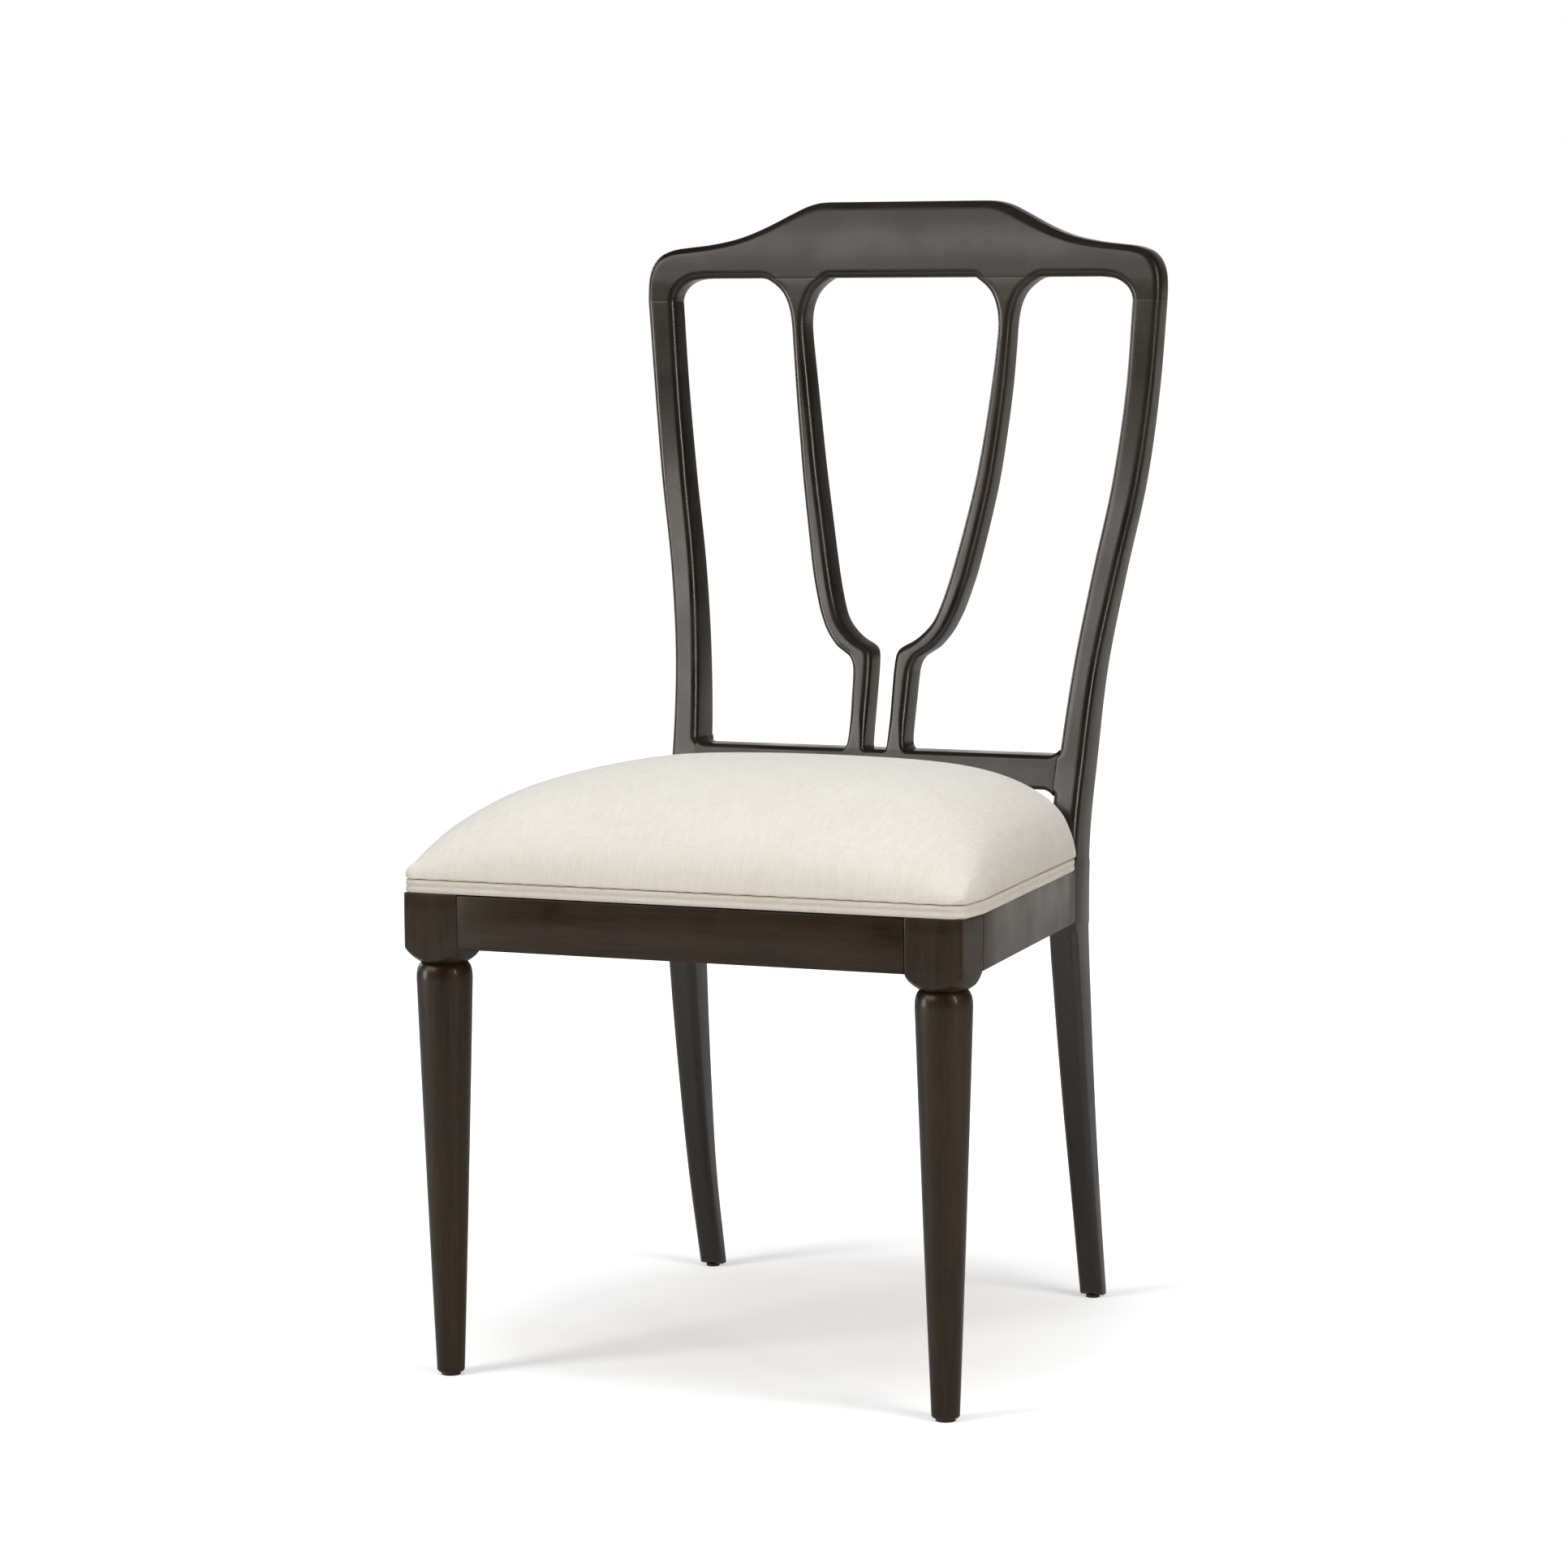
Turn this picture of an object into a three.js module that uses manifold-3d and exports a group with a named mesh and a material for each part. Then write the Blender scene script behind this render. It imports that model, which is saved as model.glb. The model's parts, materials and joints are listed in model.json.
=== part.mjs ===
// A dining chair: turned front legs under square blocks, back posts that sweep out behind, a shaped crest
// rail over two lyre slats, and a crowned linen seat edged with a double welt.
// Millimetres, +Z up. The sitter faces -Y. Left and right are as seen from the front.
// Until the last step, Y = 0 is at the axes of the front legs and Z = 0 is the floor.
import * as THREE from "three";
import { mergeVertices } from "three/addons/utils/BufferGeometryUtils.js";
import Module from "manifold-3d";

const wasm = await Module();
wasm.setup();

// The whole chair
const chairHeight = 965;
const legSpread = 438; // between the axes of the front legs
const legToPost = 383; // from a front leg's axis back to the front of a post, at the seat
const postSpread = 389; // over the outer faces of the posts, at the seat
const jointGap = 0.3; // between a piece and what it is cut for
const overrun = 2; // how far a cut runs past a face

// Seat frame
const railTop = 404.5; // top of the front rail
const railHeight = 45;
const railThickness = 22;
const seatFallDegrees = 2; // the seat falls this much towards the back
const rearRailSetback = 15; // front of the rear rail behind the front of the posts
const cornerBlockHeight = 30;
const cornerBlockReach = 58;
const cornerBlockDrop = 6; // top of a corner block under the top of the rails

// Front legs
const blockWidth = 49;
const blockDepth = 48;
const blockArris = 5;
const blockDrop = 59; // from the top of the front rail down to the neck under a block
const neckRadius = 18.5;
const pommelRadius = 40; // the ball that the foot of a block is turned to
const shoulderRadius = 23.1;
const shoulderDrop = 14; // from the neck down to the widest turning
const footRadius = 11.5;
const footRound = 2.5;
const legSwell = 0.35; // how far the taper bows out at its middle
const footRoundShare = 0.3;
const quarterTurnShares = [0, 0.17, 0.34, 0.415, 0.455, 0.5, 0.545, 0.585, 0.66, 0.83];

// Glides
const glideHeight = 2.5;
const frontGlideRadius = 8;
const rearGlideRadius = 6;
const glideSides = 20;

// Back posts
const postWidth = 26;
const postDepth = 40;
const legSweep = 69.5; // how far a foot stands behind the post's front at the seat
const backRake = 84; // how far the crest joint lies behind the same point
const backFlare = 48; // how far a post top stands out beyond the post at the seat
const postArris = 6;
const postSides = 3; // facets round each arris

// A post up its height: height, sweep of the leg, rake of the back, flare, width, depth
const postShares = [
  [0, 1, 0, -0.01, 0.815, 0.425],
  [0.1, 0.676, 0, 0.015, 0.865, 0.5],
  [0.203, 0.396, 0, 0.015, 0.925, 0.64],
  [0.306, 0.16, 0, 0.01, 0.975, 0.8],
  [0.397, 0, 0, 0, 1, 0.95],
  [0.477, 0, 0.03, 0, 0.98, 1.02],
  [0.545, 0, 0.244, 0.01, 0.94, 1],
  [0.637, 0, 0.471, 0.11, 0.885, 0.9],
  [0.728, 0, 0.696, 0.356, 0.935, 0.785],
  [0.82, 0, 0.872, 0.665, 0.98, 0.72],
  [0.911, 0, 0.968, 0.867, 0.98, 0.675],
  [1, 0, 1, 1, 1.02, 0.64],
];

// Crest rail
const crestRise = 87; // from its joint with the posts up to the chair's top
const windowRise = 20; // from the same joint up to the top of the windows
const crestLean = 14.5; // how far the crest's top leans back past the post joint
const crestBow = 6; // how far the middle of the crest lies behind its ends
const crestArris = 6.5;
const crestEndInset = 2; // the rounding of the crest's end faces
const windowCorner = 28; // width of the rounded window corners beside the posts
const crestLeanShares = [
  [0, 0],
  [0.25, 0.1],
  [0.6, 0.345],
  [1, 1],
];
// The crest's top edge from the middle to an end: place along the half length, height over the post joint
const crestTopShares = [
  [0, 1],
  [0.15, 1],
  [0.3, 1],
  [0.345, 0.993],
  [0.388, 0.957],
  [0.44, 0.892],
  [0.49, 0.823],
  [0.54, 0.755],
  [0.592, 0.692],
  [0.64, 0.644],
  [0.69, 0.609],
  [0.76, 0.575],
  [0.835, 0.552],
  [0.895, 0.528],
  [0.94, 0.483],
  [0.972, 0.402],
  [0.99, 0.31],
  [1, 0.2],
];

// Stay rail, the low cross rail of the back
const stayTop = 486.5;
const stayHeight = 29;
const stayDepth = 28;
const stayArris = 3.5;
const stayFlare = 5; // how much its ends spread where they meet the posts
const stayStationShares = [0, 0.5, 0.9, 0.96, 0.985, 1];
const tenonLength = 14;
const tenonHeight = 17;
const tenonThickness = 10;

// Back slats
const slatSpread = 133; // half the distance over the heads
const slatDepth = 29;
const slatArris = 4.2;
const slatHeadDowelShare = 0.76;
const slatFootDowelShare = 0.145;
// A slat from its foot to its head: height, outer edge, inner edge
const slatShares = [
  [0, 0.225, 0.072],
  [0.011, 0.206, 0.08],
  [0.14, 0.208, 0.08],
  [0.179, 0.213, 0.081],
  [0.193, 0.249, 0.083],
  [0.21, 0.327, 0.1],
  [0.218, 0.35, 0.142],
  [0.239, 0.404, 0.247],
  [0.26, 0.443, 0.305],
  [0.281, 0.474, 0.343],
  [0.322, 0.517, 0.388],
  [0.373, 0.561, 0.43],
  [0.47, 0.62, 0.495],
  [0.567, 0.674, 0.555],
  [0.665, 0.716, 0.602],
  [0.762, 0.749, 0.642],
  [0.86, 0.772, 0.678],
  [0.9, 0.781, 0.69],
  [0.934, 0.802, 0.684],
  [0.968, 0.85, 0.64],
  [0.985, 0.91, 0.592],
  [0.996, 0.962, 0.549],
  [1, 1, 0.519],
];

// Seat
const boardThickness = 12.7;
const boardInset = 8.6;
const weltHeight = 11; // both cords of the welt together
const weltInset = 6; // how deep the welt lies in the cover's edge
const coverThickness = 2; // linen and its wadding
const crownHeight = 88; // from the seam over the welt up to the top of the seat
const crownPeak = 265; // from the front edge back to the highest point
const seatOverhang = 1.5; // the cover past the outer faces of the rails
const stayTuck = 25.60768; // from the stay rail's lower edge back to the back edge of the seat
const postClearance = 1.4; // the cover's notches round the posts
const seatCorner = 11; // radius of the front corners
const tuckWidth = 30; // how far from a post its notch draws the crown down
const frontEdgeShares = [0, 0.3, 0.6, 0.82];
const sideEdgeShares = [0.15, 0.35, 0.55, 0.75, 0.9];
const backEdgeShares = [0.65, 0.3, 0];
const weltWidthShare = 0.97;
const sideCrownShares = [3.7, 0.42];
const frontCrownShares = [3.7, 0.55];
const backCrownShares = [2.2, 0.34];
const crownRingShares = [0.06, 0.25, 0.45, 0.62, 0.76, 0.86, 0.93, 0.97, 0.993, 1];
const foamClearance = 0.9; // between the foam and the cover round it
const foamDrop = 2; // between the foam and the cover over it
const clothThickness = 0.8; // dust cover
const dustInset = 4;
const dustCorner = 72;

// Fasteners
const dowelRadius = 4;
const dowelLength = 36;
const slatDowelRadius = 3;
const slatDowelLength = 28;
const dowelSides = 12;
const screwLength = 38;
const screwRadius = 2.1;
const screwHeadRadius = 4;
const screwHeadHeight = 2.6;
const screwPoint = 5;
const screwSides = 10;
const screwFlatShare = 0.2; // of the head's height, its straight rim
const screwBlockShare = 0.6; // of a screw's length, how much stands in the corner block
const railScrewShare = 0.55; // along a corner block
const sideScrewShares = { front: 0.6, rear: 0.5 };
const seatScrewShares = { front: 0.28, rear: 0.2 };

// Sizes that follow from the driving ones
const postTop = chairHeight - crestRise; // where the crest rail sits on the posts
const crestUnderside = postTop + windowRise;
const neckHeight = railTop - blockDrop;
const legX = legSpread / 2;
const blockOuter = legX + blockWidth / 2;
const blockInner = legX - blockWidth / 2;
const frameFront = -blockDepth / 2;
const postOuter = postSpread / 2;
const postInner = postOuter - postWidth;
const seatFall = Math.tan(THREE.MathUtils.degToRad(seatFallDegrees));
const sideTaper = (blockOuter - postOuter) / (legToPost - blockDepth / 2);
const railWidthAcross = railThickness * Math.hypot(1, sideTaper);
const rearRailFront = legToPost + rearRailSetback;
const hollowBase = boardThickness + foamDrop + 4 * jointGap; // lowest edge of the hollow in the cover
const crestEnd = postOuter + backFlare + jointGap;
const seatBack = backFront(0, stayTop - stayHeight) + stayTuck;
const seatMiddle = (frameFront + seatBack) / 2;

const railPlane = (x, y) => railTop - seatFall * (y - frameFront);
const underRail = (x, y) => railPlane(x, y) - railHeight;
const railOuter = (y) => blockOuter - sideTaper * (y - blockDepth / 2);
const railInner = (y) => railOuter(y) - railWidthAcross;

// Shape helpers

// A smooth curve through a table's rows: the value in one column at a given place in column 0.
function follow(table, place, column = 1) {
  let i = 0;
  while (i < table.length - 2 && place > table[i + 1][0]) i += 1;
  const slope = (k) => {
    const a = table[Math.max(k - 1, 0)];
    const b = table[Math.min(k + 1, table.length - 1)];
    return (b[column] - a[column]) / (b[0] - a[0]);
  };
  const [from, to] = [table[i], table[i + 1]];
  const run = to[0] - from[0];
  const t = THREE.MathUtils.clamp((place - from[0]) / run, 0, 1);
  const ease = t * t * (3 - 2 * t);
  const bend = t * (1 - t);
  const start = slope(i) * run * bend * (1 - t);
  const end = slope(i + 1) * run * bend * t;
  return from[column] + (to[column] - from[column]) * ease + start - end;
}

// The straight-line value between a table's rows.
function between(table, place, column = 1) {
  let i = 0;
  while (i < table.length - 2 && place > table[i + 1][0]) i += 1;
  const t = (place - table[i][0]) / (table[i + 1][0] - table[i][0]);
  return THREE.MathUtils.lerp(table[i][column], table[i + 1][column], THREE.MathUtils.clamp(t, 0, 1));
}

// A solid from points and triangles; a surface that faces inwards is turned round.
function solid(points, faces) {
  let volume = 0;
  const across = new THREE.Vector3();
  for (const [a, b, c] of faces) volume += points[a].dot(across.crossVectors(points[b], points[c]));
  const order = volume < 0 ? faces.map(([a, b, c]) => [a, c, b]) : faces;
  const geometry = new THREE.BufferGeometry().setFromPoints(points);
  geometry.setIndex(order.flat());
  return toManifold(geometry);
}

function toManifold(geometry) {
  const bare = geometry.index ? geometry.toNonIndexed() : geometry.clone();
  bare.deleteAttribute("normal");
  bare.deleteAttribute("uv");
  const merged = mergeVertices(bare, 1e-4);
  const triVerts = new Uint32Array(merged.index.array);
  const vertProperties = new Float32Array(merged.attributes.position.array);
  return new wasm.Manifold(new wasm.Mesh({ numProp: 3, vertProperties, triVerts }));
}

function toGeometry(manifold) {
  const mesh = manifold.getMesh();
  const geometry = new THREE.BufferGeometry();
  geometry.setAttribute("position", new THREE.Float32BufferAttribute(mesh.vertProperties, 3));
  geometry.setIndex(Array.from(mesh.triVerts));
  const flat = geometry.toNonIndexed();
  flat.computeVertexNormals();
  return flat;
}

// Closed rings of points, one after another, skinned and capped at both ends.
function loft(rings) {
  const count = rings[0].length;
  const points = rings.flat();
  const faces = [];
  for (let i = 0; i < rings.length - 1; i += 1) {
    for (let j = 0; j < count; j += 1) {
      const [a, b] = [i * count + j, i * count + ((j + 1) % count)];
      faces.push([a, b, b + count], [a, b + count, a + count]);
    }
  }
  for (const [start, ends] of [[0, true], [(rings.length - 1) * count, false]]) {
    const middle = new THREE.Vector3();
    for (let j = 0; j < count; j += 1) middle.addScaledVector(points[start + j], 1 / count);
    const hub = points.push(middle) - 1;
    for (let j = 0; j < count; j += 1) {
      const [a, b] = [start + j, start + ((j + 1) % count)];
      faces.push(ends ? [hub, b, a] : [hub, a, b]);
    }
  }
  return solid(points, faces);
}

// A rectangle with rounded corners as [across, along] pairs, from its low corner; one radius for each corner.
function roundedSection(width, depth, radii, steps) {
  const section = [];
  const corners = [[1, 0], [1, 1], [0, 1], [0, 0]];
  corners.forEach(([u, v], k) => {
    const radius = radii[k];
    const [cx, cy] = [u ? width - radius : radius, v ? depth - radius : radius];
    for (let i = 0; i <= steps; i += 1) {
      const angle = (Math.PI / 2) * (k - 1 + i / steps);
      section.push([cx + radius * Math.cos(angle), cy + radius * Math.sin(angle)]);
    }
  });
  return section;
}

// An upright prism over a plan outline, between two surfaces.
function prism(plan, bottom, top) {
  const count = plan.length;
  const points = [bottom, top].flatMap((level) => plan.map(([x, y]) => new THREE.Vector3(x, y, level(x, y))));
  const contour = plan.map(([x, y]) => new THREE.Vector2(x, y));
  const caps = THREE.ShapeUtils.triangulateShape(contour, []);
  const turn = THREE.ShapeUtils.isClockWise(contour) ? -1 : 1;
  const faces = [];
  for (const [a, b, c] of caps) {
    faces.push([a, c, b], [a + count, b + count, c + count]);
  }
  for (let i = 0; i < count; i += 1) {
    const j = (i + turn + count) % count;
    faces.push([i, j, j + count], [i, j + count, i + count]);
  }
  return solid(points, faces);
}

// Frame pieces

// The front surface of the whole back: how far back it lies at a place across and up.
function backFront(x, z) {
  const share = (z - glideHeight) / (postTop - glideHeight);
  const leg = legSweep * follow(postShares, share, 1);
  const back = backRake * follow(postShares, share, 2);
  const lean = z > postTop ? crestLean * follow(crestLeanShares, (z - postTop) / crestRise) : 0;
  const rise = THREE.MathUtils.clamp((z - stayTop) / (crestUnderside - stayTop), 0, 1);
  const bow = crestBow * rise * Math.max(0, 1 - (x / crestEnd) ** 2);
  return legToPost + leg + back + lean + bow;
}

const shareUp = (z) => (z - glideHeight) / (postTop - glideHeight);
const postOuterAt = (z) => postOuter + backFlare * follow(postShares, shareUp(z), 3);
const postInnerAt = (z) => postOuterAt(z) - postWidth * follow(postShares, shareUp(z), 4);
const backDepthAt = (z) => postDepth * follow(postShares, Math.min(shareUp(z), 1), 5);

// A back post, cut square at the foot and at the crest joint.
function makePost() {
  const heights = [];
  const steps = 26;
  for (let i = 0; i <= steps; i += 1) heights.push(glideHeight + (postTop - glideHeight) * (i / steps));
  heights.splice(1, 0, glideHeight + footRound);
  return loft(
    heights.map((z, i) => {
      const inset = i === 0 ? footRound / 2 : 0;
      const [inner, outer] = [postInnerAt(z) + inset, postOuterAt(z) - inset];
      const depth = backDepthAt(z) - 2 * inset;
      const arris = Math.min(postArris, depth / 3);
      const section = roundedSection(outer - inner, depth, [arris, arris / 2, arris / 2, arris], postSides);
      return section.map(([a, b]) => new THREE.Vector3(inner + a, backFront(inner + a, z) + inset + b, z));
    }),
  );
}

// How far a block's face lies from its axis in one direction, its rounded arrises counted.
function blockReach(angle) {
  const [dx, dy] = [Math.abs(Math.cos(angle)), Math.abs(Math.sin(angle))];
  const [a, b] = [blockWidth / 2, blockDepth / 2];
  const flat = Math.min(a / dx, b / dy);
  const [cx, cy] = [a - blockArris, b - blockArris];
  if (flat * dx < cx || flat * dy < cy) return flat;
  const along = dx * cx + dy * cy;
  return along + Math.sqrt(along ** 2 - cx ** 2 - cy ** 2 + blockArris ** 2);
}

// A front leg: a square block whose foot is turned to a ball at the neck, then a rounded shoulder and a taper.
function makeFrontLeg() {
  const angles = [];
  for (let q = 0; q < 4; q += 1) quarterTurnShares.forEach((s) => angles.push((Math.PI / 2) * (q + s)));
  const corner = blockReach(Math.PI / 4);
  const pommelSteps = 7;
  const shoulderSteps = 5;
  const taperSteps = 7;
  const levels = [];
  const ball = (radius) => Math.sqrt(pommelRadius ** 2 - radius ** 2);
  for (let i = 0; i <= pommelSteps; i += 1) {
    const radius = THREE.MathUtils.lerp(corner + overrun, neckRadius, i / pommelSteps);
    levels.push([neckHeight + ball(neckRadius) - ball(radius), radius]);
  }
  for (let i = 1; i <= shoulderSteps; i += 1) {
    const share = i / shoulderSteps;
    const radius = neckRadius + (shoulderRadius - neckRadius) * Math.sin((Math.PI / 2) * share);
    levels.push([neckHeight - shoulderDrop * share, radius]);
  }
  const [shoulder, foot] = [neckHeight - shoulderDrop, glideHeight + footRound];
  for (let i = 1; i <= taperSteps; i += 1) {
    const t = i / taperSteps;
    const radius = THREE.MathUtils.lerp(shoulderRadius, footRadius, t) + legSwell * 4 * t * (1 - t);
    levels.push([THREE.MathUtils.lerp(shoulder, foot, t), radius]);
  }
  levels.push([glideHeight + footRound * footRoundShare, footRadius - footRound * footRoundShare]);
  levels.push([glideHeight, footRadius - footRound]);
  const ring = (z, radius) =>
    angles.map((angle) => {
      const reach = Math.min(radius, z < neckHeight ? radius : blockReach(angle));
      return new THREE.Vector3(legX + reach * Math.cos(angle), reach * Math.sin(angle), z);
    });
  const top = angles.map((angle) => {
    const [x, y] = [blockReach(angle) * Math.cos(angle), blockReach(angle) * Math.sin(angle)];
    return new THREE.Vector3(legX + x, y, railPlane(x, y));
  });
  return loft([top, ...levels.map(([z, radius]) => ring(z, radius))]);
}

// Height of the crest's underside: flat over the windows, rounded down to the joint with a post.
function crestUnder(x) {
  const edge = postInnerAt(postTop);
  const along = THREE.MathUtils.clamp((Math.abs(x) - edge + windowCorner) / windowCorner, 0, 1);
  return postTop + (crestUnderside - postTop) * Math.sqrt(1 - along ** 2);
}

// The crest rail: raised flat middle, ogee shoulders, round ends that come down onto the posts.
function makeCrest() {
  const edge = postInnerAt(postTop);
  const half = crestTopShares.map(([s]) => s * crestEnd);
  const cornerSteps = 6;
  for (let i = 1; i <= cornerSteps; i += 1) {
    half.push(edge - windowCorner * (1 - Math.sin((Math.PI / 2) * (i / cornerSteps))));
  }
  const head = slatShares.at(-1);
  const [headInner, headOuter] = [slatSpread * head[2], slatSpread * head[1]];
  half.push(headInner, headOuter);
  const places = [...new Set(half)].sort((a, b) => a - b);
  const stations = [...places.slice(1).map((x) => -x).reverse(), ...places];
  return loft(
    stations.map((x) => {
      const top = postTop + crestRise * between(crestTopShares, Math.abs(x) / crestEnd);
      const low = crestUnder(x);
      const ended = Math.abs(x) > crestEnd - jointGap ? crestEndInset : 0;
      const depth = backDepthAt(postTop) - 2 * ended;
      const arris = Math.min(crestArris, (top - low) / 2.5);
      const out = Math.abs(x);
      const joined = out > edge - jointGap || (out > headInner - jointGap && out < headOuter + jointGap);
      const under = joined ? arris / 12 : arris / 2;
      const section = roundedSection(depth, top - low, [under, arris, arris, under], postSides);
      return section.map(([b, c]) => new THREE.Vector3(x, backFront(x, low + c) + ended + b, low + c));
    }),
  );
}

// The stay rail with a tenon at each end; its ends follow the slope of the posts.
function makeStay() {
  const end = postInnerAt(stayTop - stayHeight / 2);
  const stations = [...stayStationShares.slice(1).map((s) => -s).reverse(), ...stayStationShares];
  const rail = loft(
    stations.map((share) => {
      const spread = stayFlare * Math.max(0, 1 - (end * (1 - Math.abs(share))) / (2 * stayFlare)) ** 2;
      const [low, height] = [stayTop - stayHeight - spread, stayHeight + 2 * spread];
      const section = roundedSection(stayDepth, height, Array(4).fill(stayArris), postSides);
      return section.map(([b, c]) => {
        const x = share * (postInnerAt(low + c) - 2 * jointGap);
        return new THREE.Vector3(x, backFront(x, low + c) + b, low + c);
      });
    }),
  );
  return rail.add(stayTenon(0));
}

// The bar that both tenons of the stay rail are the ends of, or with an allowance its mortises.
function stayTenon(allowance) {
  const middle = stayTop - stayHeight / 2;
  const length = 2 * (postInnerAt(middle) + tenonLength + allowance);
  const sizes = [length, tenonThickness + 2 * allowance, tenonHeight + 2 * allowance];
  const bar = new THREE.BoxGeometry(...sizes);
  bar.translate(0, backFront(0, middle) + stayDepth / 2, middle);
  return toManifold(bar);
}

// A back slat: straight foot, kink, then a lyre curve that flares into the crest.
function makeSlat() {
  const height = crestUnderside - stayTop;
  return loft(
    slatShares.map(([s, outerShare, innerShare], i) => {
      const z = stayTop + s * height;
      const [inner, outer] = [slatSpread * innerShare, slatSpread * outerShare];
      const ends = i === 0 || i === slatShares.length - 1;
      const arris = ends ? slatArris / 4 : slatArris;
      const depth = Math.min(slatDepth, backDepthAt(z));
      const section = roundedSection(outer - inner, depth, [arris, arris / 2, arris / 2, arris], postSides);
      return section.map(([a, b]) => new THREE.Vector3(inner + a, backFront(inner + a, z) + b, z));
    }),
  );
}

// The seat rails: one across the front, one across the back and one at each side.
function makeFrontRail() {
  const x = blockInner - jointGap;
  const back = frameFront + railThickness;
  return prism([[-x, frameFront], [x, frameFront], [x, back], [-x, back]], () => railTop - railHeight, railPlane);
}

function makeRearRail() {
  const x = postInnerAt(railTop) - jointGap * 2;
  const [front, back] = [rearRailFront, rearRailFront + railThickness];
  return prism([[-x, front], [x, front], [x, back], [-x, back]], underRail, railPlane);
}

function makeSideRail() {
  const front = blockDepth / 2 + jointGap;
  const back = postFrontLimit() - jointGap;
  const plan = [
    [railInner(front), front],
    [railOuter(front), front],
    [railOuter(back), back],
    [railInner(back), back],
  ];
  return prism(plan, underRail, railPlane);
}

// The foremost point of a post over the height of the rails.
function postFrontLimit() {
  const samples = 12;
  let limit = Infinity;
  for (let i = 0; i <= samples; i += 1) {
    const z = THREE.MathUtils.lerp(railTop - 2 * railHeight, railTop, i / samples);
    limit = Math.min(limit, backFront(postOuter, z));
  }
  return limit;
}

// A corner block, notched round the leg or the post that it stiffens.
function makeCornerBlock(atFront) {
  const gap = jointGap;
  const railBack = frameFront + railThickness + gap;
  const legBack = blockDepth / 2 + gap;
  const postFront = postFrontLimit() - gap;
  const rearFace = rearRailFront - gap;
  const front = [
    [blockInner - gap, railBack],
    [blockInner - gap, legBack],
    [railInner(legBack) - gap, legBack],
    [railInner(legBack + cornerBlockReach) - gap, legBack + cornerBlockReach],
    [blockInner - cornerBlockReach, railBack],
  ];
  const rear = [
    [railInner(postFront - cornerBlockReach) - gap, postFront - cornerBlockReach],
    [railInner(postFront) - gap, postFront],
    [postInner - gap * 2, postFront],
    [postInner - gap * 2, rearFace],
    [postInner - cornerBlockReach, rearFace],
  ];
  const top = (x, y) => railPlane(x, y) - cornerBlockDrop;
  return prism(atFront ? front : rear, (x, y) => top(x, y) - cornerBlockHeight, top);
}

// Seat

// Half of the seat's front edge and one side, drawn in by an inset: from the middle back to the post's notch.
function seatSide(inset) {
  const front = frameFront - seatOverhang + inset;
  const notchFront = postFrontLimit() - postClearance - inset;
  const side = (y) => blockOuter + seatOverhang - inset - sideTaper * Math.max(0, y - blockDepth / 2);
  const corner = Math.max(seatCorner - inset, seatCorner / 3);
  const right = frontEdgeShares.map((s) => [s * side(front), front]);
  const cornerSteps = 4;
  for (let i = 0; i <= cornerSteps; i += 1) {
    const angle = (Math.PI / 2) * (i / cornerSteps);
    const x = side(front) - corner + corner * Math.sin(angle);
    right.push([x, front + corner - corner * Math.cos(angle)]);
  }
  for (const s of sideEdgeShares) {
    const y = THREE.MathUtils.lerp(front + corner, notchFront, s);
    right.push([side(y), y]);
  }
  right.push([side(notchFront), notchFront]);
  return right;
}

// Plan outline of the seat, with notches for the posts; its points run round its middle.
function seatOutline(inset) {
  const right = seatSide(inset);
  const [outer, notchFront] = right.at(-1);
  const back = seatBack - inset;
  const notchSide = postInner - postClearance - inset;
  right.push([(outer + notchSide) / 2, notchFront]);
  right.push([notchSide, notchFront]);
  right.push([notchSide, (notchFront + back) / 2]);
  right.push([notchSide, back]);
  for (const s of backEdgeShares) right.push([s * notchSide, back]);
  const left = right.slice(1, -1).map(([x, y]) => [-x, y]);
  return [...right, ...left.reverse()];
}

// Height of the crown over the seam at a place in the plan.
function crown(x, y) {
  const [front, back] = [frameFront - seatOverhang, seatBack];
  const peak = frameFront + crownPeak;
  const half = railOuter(Math.max(y, blockDepth / 2)) + seatOverhang;
  const bell = (distance, [power, root]) => Math.max(0, 1 - Math.min(distance, 1) ** power) ** root;
  const across = bell(Math.abs(x) / half, sideCrownShares);
  const along =
    y < peak
      ? bell((peak - y) / (peak - front), frontCrownShares)
      : bell((y - peak) / (back - peak), backCrownShares);
  const toNotchX = Math.max(0, postInner - postClearance - Math.abs(x));
  const toNotchY = Math.max(0, postFrontLimit() - postClearance - y);
  const tuck = bell(1 - Math.min(1, Math.hypot(toNotchX, toNotchY) / tuckWidth), backCrownShares);
  return crownHeight * across * along * tuck;
}

// One ring of the crown or of a skin under it: the outline drawn towards the seat's middle and lifted.
function crownRing(share, inset, base) {
  const seam = weltHeight + jointGap;
  return seatOutline(inset).map(([x, y]) => {
    const [px, py] = [x * share, seatMiddle + (y - seatMiddle) * share];
    return new THREE.Vector3(px, py, Math.max(base, seam + crown(px, py) - inset));
  });
}

const flatRing = (inset, z) => seatOutline(inset).map(([x, y]) => new THREE.Vector3(x, y, z));

// The cover: a skin over the crown, turned in above the welt and down past the board's edge.
function makeCover() {
  const rings = crownRingShares.map((s) => crownRing(s, 0, weltHeight + jointGap));
  rings.push(flatRing(weltInset, weltHeight + jointGap));
  rings.push(flatRing(weltInset, jointGap));
  rings.push(flatRing(weltInset + coverThickness, jointGap));
  rings.push(flatRing(weltInset + coverThickness, boardThickness + jointGap));
  rings.push(flatRing(coverThickness, boardThickness + jointGap));
  const inside = [...crownRingShares].reverse();
  rings.push(...inside.map((s) => crownRing(s, coverThickness, hollowBase)));
  return loft(rings);
}

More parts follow.
